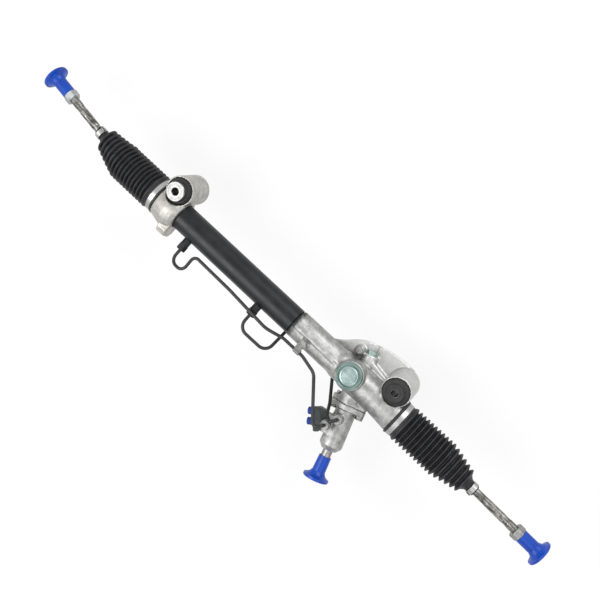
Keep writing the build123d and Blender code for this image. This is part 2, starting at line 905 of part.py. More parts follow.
def pressure_arc(r, base):
    # The involute's pressure angle at radius r, in radians.
    return radians(degrees_from_tan(sqrt((r / base) ** 2 - 1)))


def polar(r, angle):
    return (r * cos(angle), r * sin(angle))


def pinion_toothing():
    # Teeth along local X, one tooth pointing at the rack at the middle of the face.
    twist = tooth_face * tan(turn) / pinion_pitch_radius
    section = Rot(0, 0, -degrees(twist) / 2) * tooth_section()
    solid = Solid.extrude_linear_with_rotation(section, (0, 0, 0), (0, 0, tooth_face), degrees(twist))
    upright = Location(Plane(origin=(-tooth_face / 2, 0, 0), x_dir=(0, 1, 0), z_dir=(1, 0, 0)))
    return upright * solid


def pinion():
    half = tooth_face / 2
    shaft = turned(
        (journal_end_s, 0),
        (journal_end_s, journal_dia / 2 - 1),
        (journal_end_s + 1, journal_dia / 2),
        (half, journal_dia / 2),
        (half + 3, bearing_bore / 2),
        (bearing_start_s, bearing_bore / 2),
        (cup_start_s, bearing_bore / 2),
        (cup_start_s, cup_dia / 2),
        (cup_end_s, cup_dia / 2),
        (cup_end_s, 0),
    )
    body = shaft + pinion_toothing()
    body -= rod(torsion_bore_s, cup_end_s, torsion_head_dia / 2 + seat_fit)
    reach = tongue_span / 2
    play = reach * sin(radians(input_lash)) + tongue_width * (1 - cos(radians(input_lash))) / 2
    slot_high = 2 * (tongue_width / 2 + play + 2 * running_fit)
    slot_wide = tongue_span + 4 * air_gap
    slot_middle = (cup_end_s + tongue_slot_s) / 2
    slot = Pos(slot_middle, 0, 0) * Box(cup_end_s - tongue_slot_s, slot_wide, slot_high)
    return pinion_place * (body - slot)


def torsion_bar():
    bar = turned(
        (torsion_bar_start_s, 0),
        (torsion_bar_start_s, torsion_head_dia / 2),
        (torsion_head_end_s, torsion_head_dia / 2),
        (torsion_head_end_s + torsion_taper, torsion_bar_dia / 2),
        (torsion_neck_end_s, torsion_bar_dia / 2),
        (torsion_neck_end_s + torsion_taper, torsion_head_dia / 2),
        (shaft_end_s - 1, torsion_head_dia / 2),
        (shaft_end_s - 1, 0),
    )
    return pinion_place * bar


def input_shaft():
    core = turned(
        (sleeve_start_s, 0),
        (sleeve_start_s, sleeve_inner_dia / 2 - running_fit),
        (sleeve_end_s, sleeve_inner_dia / 2 - running_fit),
        (sleeve_end_s, input_shaft_dia / 2),
        (serration_s - 2, input_shaft_dia / 2),
        (serration_s, serration_dia / 2),
        (shaft_end_s - 1, serration_dia / 2),
        (shaft_end_s, serration_dia / 2 - 1),
        (shaft_end_s, 0),
    )
    tongue_middle = (tongue_start_s + sleeve_start_s) / 2
    tongue = rod(tongue_start_s, sleeve_start_s, tongue_span / 2)
    tongue &= Pos(tongue_middle, 0, 0) * Box(sleeve_start_s - tongue_start_s, tongue_span, tongue_width)
    shaft = core + tongue - rod(tongue_start_s, shaft_end_s, torsion_head_dia / 2 + 2 * running_fit)
    slot = Box(valve_slot_length, valve_slot_width, valve_slot_height)
    for turned_by in range(0, 360, 60):
        shaft -= Rot(turned_by, 0, 0) * Pos(valve_slot_s, 0, sleeve_inner_dia / 2) * slot
    return pinion_place * shaft


def valve_sleeve():
    body = ring(sleeve_start_s, sleeve_end_s, sleeve_inner_dia / 2, sleeve_outer_dia / 2)
    for place in sleeve_ring_places():
        body -= ring(place - 1, place + 1, sleeve_outer_dia / 2 - 1.5, sleeve_outer_dia)
    for place in sleeve_ring_places()[:-1]:
        hole = Pos(place + 5, 0, 0) * Cylinder(1.2, 2 * sleeve_outer_dia)
        body -= hole
    return pinion_place * body


def sleeve_ring_places():
    step = (sleeve_end_s - sleeve_start_s - 6) / 3
    return [sleeve_start_s + 3 + number * step for number in range(4)]


def sleeve_rings():
    inner = sleeve_outer_dia / 2 - 1.5 + seat_fit
    outer = valve_bore / 2 - running_fit / 2
    pieces = []
    for place in sleeve_ring_places():
        pieces.append(pinion_place * ring(place - 0.95, place + 0.95, inner, outer))
    return Compound(children=pieces)


def ball_bearing():
    start = bearing_start_s
    end = bearing_start_s + bearing_width
    inner = bearing_bore / 2 + running_fit
    outer = bearing_outer_dia / 2
    middle = (inner + outer) / 2
    ball = 2.6
    track = Pos(bearing_start_s + bearing_width / 2, 0, 0) * Rot(0, 90, 0) * Torus(middle, ball + seat_fit)
    pieces = [
        pinion_place * (ring(start, end, inner, middle - 1.6) - track),
        pinion_place * (ring(start, end, middle + 1.6, outer) - track),
    ]
    for number in range(9):
        spin = Rot(number * 40, 0, 0)
        pieces.append(pinion_place * spin * Pos((start + end) / 2, 0, middle) * Sphere(ball))
    return Compound(children=pieces)


def needle_bearing():
    start = needle_start_s
    end = needle_start_s + needle_length
    return pinion_place * ring(start, end, journal_dia / 2 + running_fit, needle_outer_dia / 2)


def upper_bearing():
    end = upper_bearing_s + upper_bearing_length
    shell = ring(upper_bearing_s, end, input_shaft_dia / 2 + running_fit, input_shaft_dia / 2 + 3)
    return pinion_place * shell


def lip_seal(start, length, inner, outer):
    # A shaft seal: an outer case with a lip that leans in to the shaft.
    return turned(
        (start, inner + 2),
        (start, outer),
        (start + length, outer),
        (start + length, outer - 1.2),
        (start + 1.5, outer - 1.6),
        (start + length - 1.5, inner),
        (start + 1.5, inner),
    )


def pinion_seal():
    inner = bearing_bore / 2 + running_fit
    return pinion_place * lip_seal(pinion_seal_s, 6.0, inner, bearing_outer_dia / 2)


def input_seal():
    inner = input_shaft_dia / 2 + running_fit
    return pinion_place * lip_seal(input_seal_s, 6.0, inner, input_shaft_dia / 2 + 3)


def pinion_end_plug():
    body = hexagon(nose_end_s - 6, nose_end_s - 1.5, 18)
    body += rod(nose_end_s - 1.5, nose_end_s, 10)
    body += rod(nose_end_s, journal_end_s - 1, needle_outer_dia / 2)
    return pinion_place * body


def input_shaft_cap():
    # A moulded cap, closed at its flared end.
    r = 10.2
    flare = 21.5
    body = turned(
        (cap_start_s, 0),
        (cap_start_s, r),
        (cap_end_s - 14, r + 0.8),
        (cap_end_s - 9, r + 3.5),
        (cap_end_s - 5.5, r + 8.5),
        (cap_end_s - 4.5, flare),
        (cap_end_s - 1, flare),
        (cap_end_s, flare - 1),
        (cap_end_s, 0),
    )
    body -= rod(cap_start_s, shaft_end_s + 1, input_shaft_dia / 2 + running_fit)
    return pinion_place * body


# Rack guide

def rack_guide():
    body = rod(guide_low_z, guide_top_z, guide_dia / 2 - running_fit)
    body -= rod(guide_top_z - 10, guide_top_z, spring_dia / 2 + spring_wire)
    cradle = rack_dia / 2 + running_fit + liner_thickness
    return guide_place * body - rod(-guide_dia, guide_dia, cradle + seat_fit)


def guide_liner():
    # A low-friction strip bent round the rack under the guide.
    inner = rack_dia / 2 + running_fit
    strip = ring(-11, 11, inner, inner + liner_thickness)
    keep = Pos(0, 0, guide_low_z + 1 + rack_dia) * Box(30, 2 * rack_dia, 2 * rack_dia)
    return strip & keep


def guide_spring():
    height = plug_low_z + 2 - (guide_top_z - 10) - spring_wire - 2 * seat_fit
    low = guide_top_z - 10 + spring_wire / 2 + seat_fit
    path = Helix(height / 2.5, height, spring_dia / 2)
    section = Plane(origin=path @ 0, z_dir=path % 0) * Circle(spring_wire / 2)
    return Pos(0, 0, low) * sweep(section, path=path)


def guide_plug():
    # The adjuster: threaded in the boss, with a domed crown.
    r = plug_crown_dia / 2
    outline = [
        (plug_low_z, 0),
        (plug_low_z, plug_thread_dia / 2),
        (guide_boss_top_z + 5, plug_thread_dia / 2),
        (guide_boss_top_z + 5, r + 0.8),
        (plug_crown_z - 4, r),
        (plug_crown_z - 1.5, r - 1.4),
        (plug_crown_z - 0.4, r - 4.5),
        (plug_crown_z, r - 9),
        (plug_crown_z, 0),
    ]
    spring_seat = rod(plug_low_z, plug_low_z + 2, spring_dia / 2 + spring_wire)
    return guide_place * (turned(*outline) - spring_seat)


def guide_lock_ring():
    inner = plug_thread_dia / 2 + seat_fit
    outer = lock_ring_dia / 2
    body = turned(
        (guide_boss_top_z, inner),
        (guide_boss_top_z, outer),
        (lock_ring_top_z - 1.5, outer),
        (lock_ring_top_z, outer - 1.2),
        (lock_ring_top_z, inner),
    )
    for number in range(6):
        notch = Pos(lock_ring_top_z, 0, outer) * Box(5, 4, 1.6)
        body -= Rot(number * 60, 0, 0) * notch
    return guide_place * body


# Fasteners on the gear housing

def web_flange_bolt():
    place = frame((web_bolt[0], web_bolt[1], -2), (0, 0, 1), (0, -1, 0))
    bolt = hexagon(0, 8, 10) + turned((0, 0), (0, 8), (1.2, 8), (3, 5.5), (3, 0)) + rod(-17, 0, 4)
    return place * bolt


bracket_top_z = barrel_dia / 2 - 0.9


def pipe_bracket():
    # A folded strip: flat under its bolt, down over the barrel's shoulder, looped round the pipe.
    strip = 2.0
    wide = 12.0
    eye_y = bracket_pipe[1]
    eye_z = bracket_pipe[2]
    grip = pipe_dia / 2 + seat_fit
    place = Plane(origin=(bracket_pipe[0], 0, 0), x_dir=(0, 1, 0), z_dir=(1, 0, 0))
    top = slab(
        [
            (bracket_bolt_y + 7, bracket_top_z),
            (bracket_bolt_y + 7, bracket_top_z + strip),
            (bracket_bolt_y - 8, bracket_top_z + strip),
            (eye_y - 0.5, eye_z + grip + strip),
            (eye_y - 0.5, eye_z + grip),
            (bracket_bolt_y - 7, bracket_top_z),
        ],
        -wide / 2,
        wide / 2,
        place,
    )
    eye = frame((bracket_pipe[0], eye_y, eye_z), (1, 0, 0), (0, 0, 1))
    body = top + eye * rod(-wide / 2, wide / 2, grip + strip) - eye * rod(-wide, wide, grip)
    return body - Pos(bracket_bolt_x, bracket_bolt_y, bracket_top_z) * Cylinder(3 + seat_fit, 10)


def bracket_bolt():
    place = frame((bracket_bolt_x, bracket_bolt_y, bracket_top_z + 2), (0, 0, 1), (0, -1, 0))
    return place * (hexagon(1.2, 6.5, 11) + rod(0, 1.2, 7) + rod(-16, 0, 3))


# Ball joints and tie rods

def socket(side):
    # Screwed into the rack's end. Its mouth is rolled over the seat.
    body = turned(
        (-socket_reach - stud_length + 1, 0),
        (-socket_reach - stud_length + 1, stud_dia / 2),
        (-socket_reach, stud_dia / 2),
        (-socket_reach, socket_dia / 2 - 2),
        (-socket_reach + 2, socket_dia / 2),
        (2, socket_dia / 2),
        (socket_mouth, ball_dia / 2 + 2.5),
        (socket_mouth, 0),
    )
    body -= Sphere(ball_dia / 2 + running_fit + seat_wall + running_fit)
    flat = socket_dia / 2 - 1.5
    for up in (1, -1):
        body -= Pos(-socket_reach + 6, 0, up * (flat + 10)) * Box(12, socket_dia, 20)
    return socket_place(side) * body


def ball_seat(side):
    seat = Sphere(ball_dia / 2 + running_fit + seat_wall) - Sphere(ball_dia / 2 + running_fit)
    seat -= Pos(ball_dia + 6, 0, 0) * Box(2 * ball_dia, 2 * ball_dia, 2 * ball_dia)
    yaw = left_yaw if side < 0 else right_yaw
    return socket_place(side) * Rot(0, 0, -yaw) * seat


def tie_rod(side):
    half = rod_dia / 2
    body = turned(
        (8, 0),
        (8, neck_dia / 2),
        (20, neck_dia / 2),
        (24, half),
        (flats_start, half),
        (flats_start + 2, flats_dia / 2),
        (flats_end - 2, flats_dia / 2),
        (flats_end, half),
        (thread_start, half),
        (thread_start + 1, thread_dia / 2),
        (thread_end - 1.5, thread_dia / 2),
        (thread_end, thread_dia / 2 - 1.5),
        (thread_end, 0),
    )
    middle = (flats_start + flats_end) / 2
    for way in (1, -1):
        body -= Pos(middle, way * (flats_across / 2 + 5), 0) * Box(flats_end - flats_start, 10, 20)
    return rod_place(side) * (body + Sphere(ball_dia / 2))


def jam_nut(side):
    start = nut_start(side)
    body = hexagon(start, start + nut_length, nut_flats)
    return rod_place(side) * (body - rod(start, start + nut_length, thread_dia / 2 + seat_fit))


def tie_rod_cap(side):
    start = nut_start(side) + nut_length + air_gap
    end = nut_start(side) + nut_length + cap_length
    r = cap_dia / 2
    flare = cap_flange_dia / 2
    body = turned(
        (start, 0),
        (start, r),
        (end - 15, r),
        (end - 9, r + 2.5),
        (end - 5.5, r + 7),
        (end - 4.5, flare),
        (end - 1, flare),
        (end, flare - 1),
        (end, 0),
    )
    return rod_place(side) * (body - rod(start, thread_end + 1, thread_dia / 2 + running_fit))


# Bellows and clamps

def nose_x(side):
    return end_nose_x if side < 0 else gear_nose_x


def grip(side):
    return left_grip if side < 0 else right_grip


def bellows_length(side):
    axis, _ = rod_axes(side)
    collar_x = ball_x(side) + axis[0] * grip(side)
    return (collar_x - nose_x(side)) * side


def bellows_centre(side, distance):
    # The middle of the bellows and its direction there: from the rack's line over to the rod's.
    axis, _ = rod_axes(side)
    length = bellows_length(side)
    if distance >= length:
        reach = grip(side) + distance - length
        return Vector(ball_x(side), 0, 0) + Vector(*axis) * reach, Vector(*axis)
    ease = min(max((distance / length - 0.25) / 0.75, 0), 1)
    ease = ease * ease * (3 - 2 * ease)
    x = nose_x(side) + side * distance
    reach = max((x - ball_x(side)) / axis[0], 0)
    centre = Vector(x, axis[1] * reach * ease, axis[2] * reach * ease)
    return centre, (Vector(side, 0, 0) * (1 - ease) + Vector(*axis) * ease).normalized()


def bellows_skin(side, stations):
    wires = []
    for distance, radius in stations:
        centre, along = bellows_centre(side, distance)
        wires.append(Wire.make_circle(radius, Plane(origin=centre, x_dir=(0, 0, 1), z_dir=along)))
    return Solid.make_loft(wires, ruled=True)


def crest_places(side):
    # (distance, radius) of each crest: even ones first, then smaller and wider apart.
    unit = (bellows_length(side) - bellows_neck) / (full_crests + 1.2 * small_crests)
    places = [(unit * (number + 1), crest_dia / 2) for number in range(full_crests)]
    step = (crest_dia - last_crest_dia) / 2 / small_crests
    for number in range(1, small_crests + 1):
        places.append((unit * (full_crests + 1.2 * number), crest_dia / 2 - step * number))
    return places


def bellows(side):
    end = bellows_length(side)
    grip_radius = seat_dia / 2 + bellows_wall + 0.7
    collar = rod_dia / 2 + air_gap + collar_wall
    crests = crest_places(side)
    outer = [
        (air_gap - seat_length, lip_dia / 2),
        (lip_length - seat_length, lip_dia / 2),
        (lip_length + 0.1 - seat_length, grip_radius),
        (crests[0][0] * 0.3, grip_radius),
    ]
    for index, (place, radius) in enumerate(crests):
        if index > 0:
            outer.append(((place + crests[index - 1][0]) / 2, radius - groove_depth + 0.6))
        outer.append((place, radius))
    outer.append((end - bellows_neck + 1.5, last_crest_dia / 2 - 4))
    outer.append((end - bellows_neck * 0.45, last_crest_dia / 2 - 7.5))
    outer.append((end - 0.5, collar + 0.6))
    outer.append((end, collar))
    outer.append((end + collar_length, collar))
    waist = crest_dia / 2 - groove_depth - bellows_wall
    last_full = crests[full_crests - 1][0]
    inner = [
        (air_gap - seat_length - 1, seat_dia / 2 + seat_fit),
        (0.6, seat_dia / 2 + seat_fit),
        (0.8, waist),
        (last_full, waist),
        (crests[-1][0], last_crest_dia / 2 - groove_depth - bellows_wall + 1),
        (end - 1, rod_dia / 2 + air_gap),
        (end + collar_length + 1, rod_dia / 2 + air_gap),
    ]
    return bellows_skin(side, outer) - bellows_skin(side, inner)


def large_clamp(side):
    # A polished band with a crimped ear.
    inner = seat_dia / 2 + bellows_wall + 0.7 + seat_fit
    start = lip_length + 0.5 - seat_length
    band = ring(start, start + large_clamp_width, inner, inner + clamp_thickness)
    ear = Pos(start + large_clamp_width / 2, 0, inner + clamp_thickness + 1) * Box(large_clamp_width, 6, 3)
    place = frame((nose_x(side), 0, 0), (side, 0, 0), (0, 0, 1))
    return place * (band + Rot(150, 0, 0) * ear)


def small_clamp(side):
    # A spring band with two pinch ears.
    inner = rod_dia / 2 + air_gap + collar_wall + air_gap
    start = grip(side) + 2
    band = ring(start, start + small_clamp_width, inner, inner + clamp_thickness)
    middle = start + small_clamp_width / 2
    ears = Pos(middle, 1.6, inner + 2.2) * Box(small_clamp_width - 1, 1.2, 4.5)
    ears += Pos(middle, -1.6, inner + 2.2) * Box(small_clamp_width - 1, 1.2, 4.5)
    return rod_place(side) * (band + Rot(40, 0, 0) * ears)


def pieces():
    # Every node of the part, by name.
    named = {
        "gear_housing": gear_housing(),
        "valve_housing": valve_housing(),
        "valve_housing_bolts": valve_housing_bolts(),
        "cylinder_tube": cylinder_tube(),
        "union_bosses": union_bosses(),
        "cylinder_union_nuts": cylinder_union_nuts(),
        "valve_union_nuts": valve_union_nuts(),
        "left_turn_pipe": left_turn_pipe(),
        "right_turn_pipe": right_turn_pipe(),
        "pipe_bracket": pipe_bracket(),
        "bracket_bolt": bracket_bolt(),
        "web_flange_bolt": web_flange_bolt(),
        "end_housing": end_housing(),
        "end_stopper": end_stopper(),
        "rack_bush": rack_bush(),
        "rack_seals": rack_seals(),
        "rack_bar": rack_bar(),
        "piston": piston(),
        "piston_ring": piston_ring(),
        "pinion": pinion(),
        "torsion_bar": torsion_bar(),
        "input_shaft": input_shaft(),
        "valve_sleeve": valve_sleeve(),
        "sleeve_rings": sleeve_rings(),
        "ball_bearing": ball_bearing(),
        "needle_bearing": needle_bearing(),
        "upper_bearing": upper_bearing(),
        "pinion_seal": pinion_seal(),
        "input_seal": input_seal(),
        "pinion_end_plug": pinion_end_plug(),
        "input_shaft_cap": input_shaft_cap(),
        "rack_guide": rack_guide(),
        "guide_liner": guide_liner(),
        "guide_spring": guide_spring(),
        "guide_plug": guide_plug(),
        "guide_lock_ring": guide_lock_ring(),
        "port_block": port_block(),
        "pressure_port_plug": hose_plug(-1),
        "return_port_plug": hose_plug(1),
        "end_bush_rubber": end_bush_rubber(),
        "end_bush_sleeve": bush_sleeve(end_boss_x, end_sleeve_front, True),
        "gear_bush_rubber": gear_bush_rubber(),
        "gear_bush_sleeve": bush_sleeve(gear_boss_x, gear_sleeve_front, False),
    }
    for side, name in ((-1, "left"), (1, "right")):
        named[name + "_socket"] = socket(side)
        named[name + "_ball_seat"] = ball_seat(side)
        named[name + "_tie_rod"] = tie_rod(side)
        named[name + "_jam_nut"] = jam_nut(side)
        named[name + "_tie_rod_cap"] = tie_rod_cap(side)
        named[name + "_bellows"] = bellows(side)
        named[name + "_large_clamp"] = large_clamp(side)
        named[name + "_small_clamp"] = small_clamp(side)
    return named


to_bush = Pos(-gear_boss_x, -boss_y, 0)
os.makedirs("parts", exist_ok=True)
for name, solid in pieces().items():
    export_step(to_bush * solid, "parts/" + name + ".step")
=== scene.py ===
import json
import math

import bpy
from mathutils import Matrix, Vector


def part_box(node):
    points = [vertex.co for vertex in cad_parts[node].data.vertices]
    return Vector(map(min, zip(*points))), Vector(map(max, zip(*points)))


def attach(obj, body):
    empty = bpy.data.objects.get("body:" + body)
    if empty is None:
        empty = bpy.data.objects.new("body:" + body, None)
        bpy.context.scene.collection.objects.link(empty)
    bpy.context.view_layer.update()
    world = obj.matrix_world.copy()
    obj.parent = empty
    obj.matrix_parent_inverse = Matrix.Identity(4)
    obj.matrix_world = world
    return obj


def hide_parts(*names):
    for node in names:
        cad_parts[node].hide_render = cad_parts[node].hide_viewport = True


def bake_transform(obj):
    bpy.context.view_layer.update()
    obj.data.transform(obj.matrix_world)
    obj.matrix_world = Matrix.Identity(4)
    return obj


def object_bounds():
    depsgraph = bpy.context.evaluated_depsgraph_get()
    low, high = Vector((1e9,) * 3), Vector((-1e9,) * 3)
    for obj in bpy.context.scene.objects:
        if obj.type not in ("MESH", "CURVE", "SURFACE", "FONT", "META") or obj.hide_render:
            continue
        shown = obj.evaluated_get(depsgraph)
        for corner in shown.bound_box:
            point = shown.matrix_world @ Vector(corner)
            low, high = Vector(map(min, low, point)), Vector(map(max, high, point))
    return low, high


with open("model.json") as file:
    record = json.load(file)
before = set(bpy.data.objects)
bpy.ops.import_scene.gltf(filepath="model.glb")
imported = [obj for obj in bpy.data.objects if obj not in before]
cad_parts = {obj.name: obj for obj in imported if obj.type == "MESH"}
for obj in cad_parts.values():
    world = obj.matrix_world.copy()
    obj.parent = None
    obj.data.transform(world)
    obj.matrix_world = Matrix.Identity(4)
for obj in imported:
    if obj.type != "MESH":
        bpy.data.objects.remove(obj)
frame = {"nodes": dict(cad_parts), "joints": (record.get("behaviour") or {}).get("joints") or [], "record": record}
cadBox = [list(corner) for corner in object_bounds()]
nodes = frame["nodes"]
mounts = {mount["name"]: mount for mount in frame["record"]["mounts"]}
joints = {joint["name"]: joint for joint in frame["joints"]}
slotOf = {part["node"]: part["material_slot"] for part in frame["record"]["subparts"]}
print("frame loaded:", len(nodes), "nodes")


# Places that the CAD gives, in metres

tubeLow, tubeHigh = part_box("cylinder_tube")
rackY = (tubeLow.y + tubeHigh.y) / 2
rackZ = (tubeLow.z + tubeHigh.z) / 2
outwards = {"left": -1, "right": 1}
rodAxis = {side: Vector(joints[side + "_cap_pull"]["axis"]) for side in outwards}
ballAt = {side: Vector(joints[side + "_rod_yaw"]["pos_m"]) for side in outwards}
bossAxis = Vector(mounts["gear_side_bush"]["axis"])


# Materials

class Flow:
    # A socket in a material, so that shader maths reads as plain maths.
    def __init__(self, net, socket):
        self.net = net
        self.socket = socket

    def maths(self, operation, first, second):
        return self.net.node("ShaderNodeMath", {"operation": operation}, {0: first, 1: second})

    def __add__(self, other):
        return self.maths("ADD", self, other)

    def __radd__(self, other):
        return self.maths("ADD", other, self)

    def __sub__(self, other):
        return self.maths("SUBTRACT", self, other)

    def __rsub__(self, other):
        return self.maths("SUBTRACT", other, self)

    def __mul__(self, other):
        return self.maths("MULTIPLY", self, other)

    def __rmul__(self, other):
        return self.maths("MULTIPLY", other, self)


class Net:
    # One material, or the world. node() adds any node: its type, its settings, then its sockets.
    def __init__(self, name, world=None):
        self.owner = world or bpy.data.materials.new(name)
        self.owner.use_nodes = True
        self.tree = self.owner.node_tree
        self.shader = self.tree.nodes.get("Principled BSDF")
        self.place = self.node("ShaderNodeTexCoord", {}, {}, "Object")

    def node(self, kind, settings, sockets, output=0):
        made = self.tree.nodes.new(kind)
        for key, value in settings.items():
            if key == "stops":
                elements = made.color_ramp.elements
                for index, (at, shade) in enumerate(value):
                    stop = elements[index] if index < len(elements) else elements.new(at)
                    stop.position = at
                    stop.color = (shade, shade, shade, 1)
            else:
                setattr(made, key, value)
        for key, value in sockets.items():
            if isinstance(value, Flow):
                self.tree.links.new(value.socket, made.inputs[key])
            else:
                made.inputs[key].default_value = value
        return Flow(self, made.outputs[output])

    def noise(self, scale, detail, roughness=0.55, vector=None):
        vector = vector or self.place
        sockets = {"Vector": vector, "Scale": scale, "Detail": detail, "Roughness": roughness}
        return self.node("ShaderNodeTexNoise", {}, sockets, "Fac")

    def stretched(self, scale):
        return self.node("ShaderNodeMapping", {}, {"Vector": self.place, "Scale": scale})

    def along(self, letter):
        # The object coordinate X, Y or Z.
        return self.node("ShaderNodeSeparateXYZ", {}, {0: self.place}, letter)

    def limited(self, value):
        return self.node("ShaderNodeClamp", {}, {"Value": value})

    def ramp(self, value, stops):
        return self.node("ShaderNodeValToRGB", {"stops": stops}, {"Fac": value}, "Color")

    def mix(self, factor, first, second):
        # Between two colours, given as (r, g, b) or as another mix.
        sockets = {0: factor}
        for key, colour in ((6, first), (7, second)):
            sockets[key] = colour if isinstance(colour, Flow) else (*colour, 1)
        return self.node("ShaderNodeMix", {"data_type": "RGBA"}, sockets, 2)

    def bump(self, height, distance):
        return self.node("ShaderNodeBump", {}, {"Height": height, "Distance": distance})

    def seenShare(self):
        # 1 for what is seen directly, in metal or through glass, and 0 for what only lights.
        kinds = ("Is Camera Ray", "Is Glossy Ray", "Is Transmission Ray")
        camera, glossy, transmission = (self.node("ShaderNodeLightPath", {}, {}, kind) for kind in kinds)
        return camera + glossy + transmission

    def show(self, flow, outputName):
        self.tree.links.new(flow.socket, self.tree.nodes[outputName].inputs["Surface"])

    def finish(self, **sockets):
        # Names are the shader's own, with _ for a space.
        for key, value in sockets.items():
            socket = self.shader.inputs[key.replace("_", " ")]
            if isinstance(value, Flow):
                self.tree.links.new(value.socket, socket)
            else:
                socket.default_value = value
        return self.owner


castLook = {
    "dark": (0.075, 0.075, 0.074),
    "light": (0.56, 0.56, 0.55),
    # pale and paintedLightShare are painted light: the gear housing's web and boss made paler where they face up,
    # partly their own paler skin.
    "pale": (0.66, 0.66, 0.65),
    "paintedLightShare": 0.55,
    "grain": 0.00014,
    "rough": 0.32,
}
# A paler copy of the cast aluminium: painted light, the highlight on the casting put into its colour.
litCastLook = {"dark": (0.22, 0.215, 0.195), "light": (0.62, 0.61, 0.575), "grain": 0.00012, "rough": 0.36}
# Nearly black cast metal: painted shade, standing in for a boss of the casting that lies in deep shade.
shadedBlockLook = {"dark": (0.025, 0.028, 0.028), "light": (0.085, 0.09, 0.09), "grain": 0.00012, "rough": 0.42}
castGrain = {"clouds": 38, "grime": 95, "drift": 160, "skin": 260, "grain": 1400}
castMetalness = 0.85
# Painted light on the gear housing: the y from which the web and the boss are painted paler, and how sharply that
# comes in.
paintedLightEdge = {"start": -0.013, "sharpness": 150}
paintDrift = {"reach": 0.006, "spread": 0.016, "sharpness": 160}


def castMetal(name, look, sprayedTo=None, paintedLightFrom=None):
    # Die-cast skin: fine grain, a soft cloudiness and darker grime in patches.
    # sprayedTo is the x up to which the tube's black paint has drifted over it,
    # and paintedLightFrom the y from which it is painted paler, on the web and the boss:
    # partly their own paler skin, partly painted light where they face up.
    net = Net(name)
    clouds = net.noise(castGrain["clouds"], 5, 0.6)
    grain = net.noise(castGrain["grain"], 2)
    grime = net.ramp(net.noise(castGrain["grime"], 6, 0.7), [(0.42, 0.0), (0.62, 1.0)])
    shade = clouds * 0.55 + grime * 0.3 + grain * 0.15
    colour = net.mix(shade, look["dark"], look["light"])
    rough = look["rough"] + 0.22 * (1 - clouds) + 0.05 * grain
    skin = grain * 0.6 + net.noise(castGrain["skin"], 3) * 0.4
    bump = net.bump(skin, look["grain"])
    metal = castMetalness
    # Painted light: paler from paintedLightFrom along y, on the web and the boss where they face up, partly their
    # own paler skin.
    if paintedLightFrom is not None:
        paintedLightMask = net.limited((net.along("Y") - paintedLightFrom) * paintedLightEdge["sharpness"])
        colour = net.mix(paintedLightMask * look["paintedLightShare"], colour, look["pale"])
    if sprayedTo is not None:
        uneven = (net.noise(castGrain["drift"], 5, 0.7) - 0.5) * paintDrift["spread"]
        bare = net.limited((net.along("X") - sprayedTo + uneven) * paintDrift["sharpness"] + 0.5)
        colour = net.mix(bare, tubePaint["deep"], colour)
        metal = bare * castMetalness
    return net.finish(Base_Color=colour, Metallic=metal, Roughness=rough, Normal=bump)


steelLook = {"dark": (0.07, 0.07, 0.069), "light": (0.40, 0.40, 0.39), "rough": 0.27}
unionNutLook = {"dark": (0.10, 0.10, 0.10), "light": (0.42, 0.43, 0.42), "rough": 0.30}
paleSteelLook = {"dark": (0.26, 0.28, 0.28), "light": (0.56, 0.58, 0.58), "rough": 0.30}
rodLook = {"dark": (0.03, 0.029, 0.025), "light": (0.55, 0.545, 0.51), "rough": 0.24}
unionLook = {"dark": (0.012, 0.012, 0.013), "light": (0.045, 0.045, 0.047), "rough": 0.36}
turnedGrain = {"film": 90, "streaks": 130, "lines": 420}
acrossX = (12, 1, 1)
acrossZ = (1, 1, 12)
alongX = (0.35, 2.2, 2.2)


def machinedMetal(name, look, lineScale=acrossZ, streaks=0.0):
    # Turned steel: fine lines round the piece and a thin uneven film of oil.
    # streaks is how strong the dark patches along the piece are.
    net = Net(name)
    lines = net.noise(turnedGrain["lines"], 2, 0.5, net.stretched(lineScale))
    film = net.ramp(net.noise(turnedGrain["film"], 5, 0.65), [(0.36, 0.0), (0.64, 1.0)])
    shade = lines * 0.4 + film * 0.6
    if streaks:
        patches = net.noise(turnedGrain["streaks"], 4, 0.7, net.stretched(alongX))
        shade = shade * (1 - streaks * net.ramp(patches, [(0.44, 0.0), (0.56, 1.0)]))
    colour = net.mix(shade, look["dark"], look["light"])
    rough = look["rough"] + 0.16 * film + 0.08 * lines
    return net.finish(Base_Color=colour, Metallic=1.0, Roughness=rough, Normal=net.bump(lines, 0.00004))


zincLook = {"dark": (0.05, 0.105, 0.09), "light": (0.36, 0.49, 0.45), "rough": 0.24}
# Paler zinc for the plugs' faces: partly their plate, partly a painted highlight like the one on the guide plug's
# dome.
plugFaceLook = {"dark": (0.12, 0.21, 0.195), "light": (0.60, 0.71, 0.69), "rough": 0.22}
bronzeLook = {"dark": (0.35, 0.20, 0.08), "light": (0.62, 0.42, 0.2), "rough": 0.4}
platedGrain = {"cloud": 120, "spots": 520}


def platedMetal(name, look):
    # Greenish zinc plate or plain bronze, paler where it is worn.
    net = Net(name)
    cloud = net.noise(platedGrain["cloud"], 4, 0.6)
    spots = net.ramp(net.noise(platedGrain["spots"], 2), [(0.55, 0.0), (0.7, 1.0)])
    colour = net.mix(cloud * 0.8 + spots * 0.2, look["dark"], look["light"])
    rough = look["rough"] + 0.2 * cloud
    return net.finish(Base_Color=colour, Metallic=0.75, Roughness=rough, Normal=net.bump(cloud, 0.00006))


tubePaint = {"deep": (0.005, 0.0055, 0.007), "dusty": (0.013, 0.014, 0.016), "rough": 0.33, "shine": 0.30}
pipePaint = {"deep": (0.009, 0.009, 0.010), "dusty": (0.030, 0.030, 0.031), "rough": 0.36, "shine": 0.40}
paintGrain = {"dust": 55, "peel": 650}


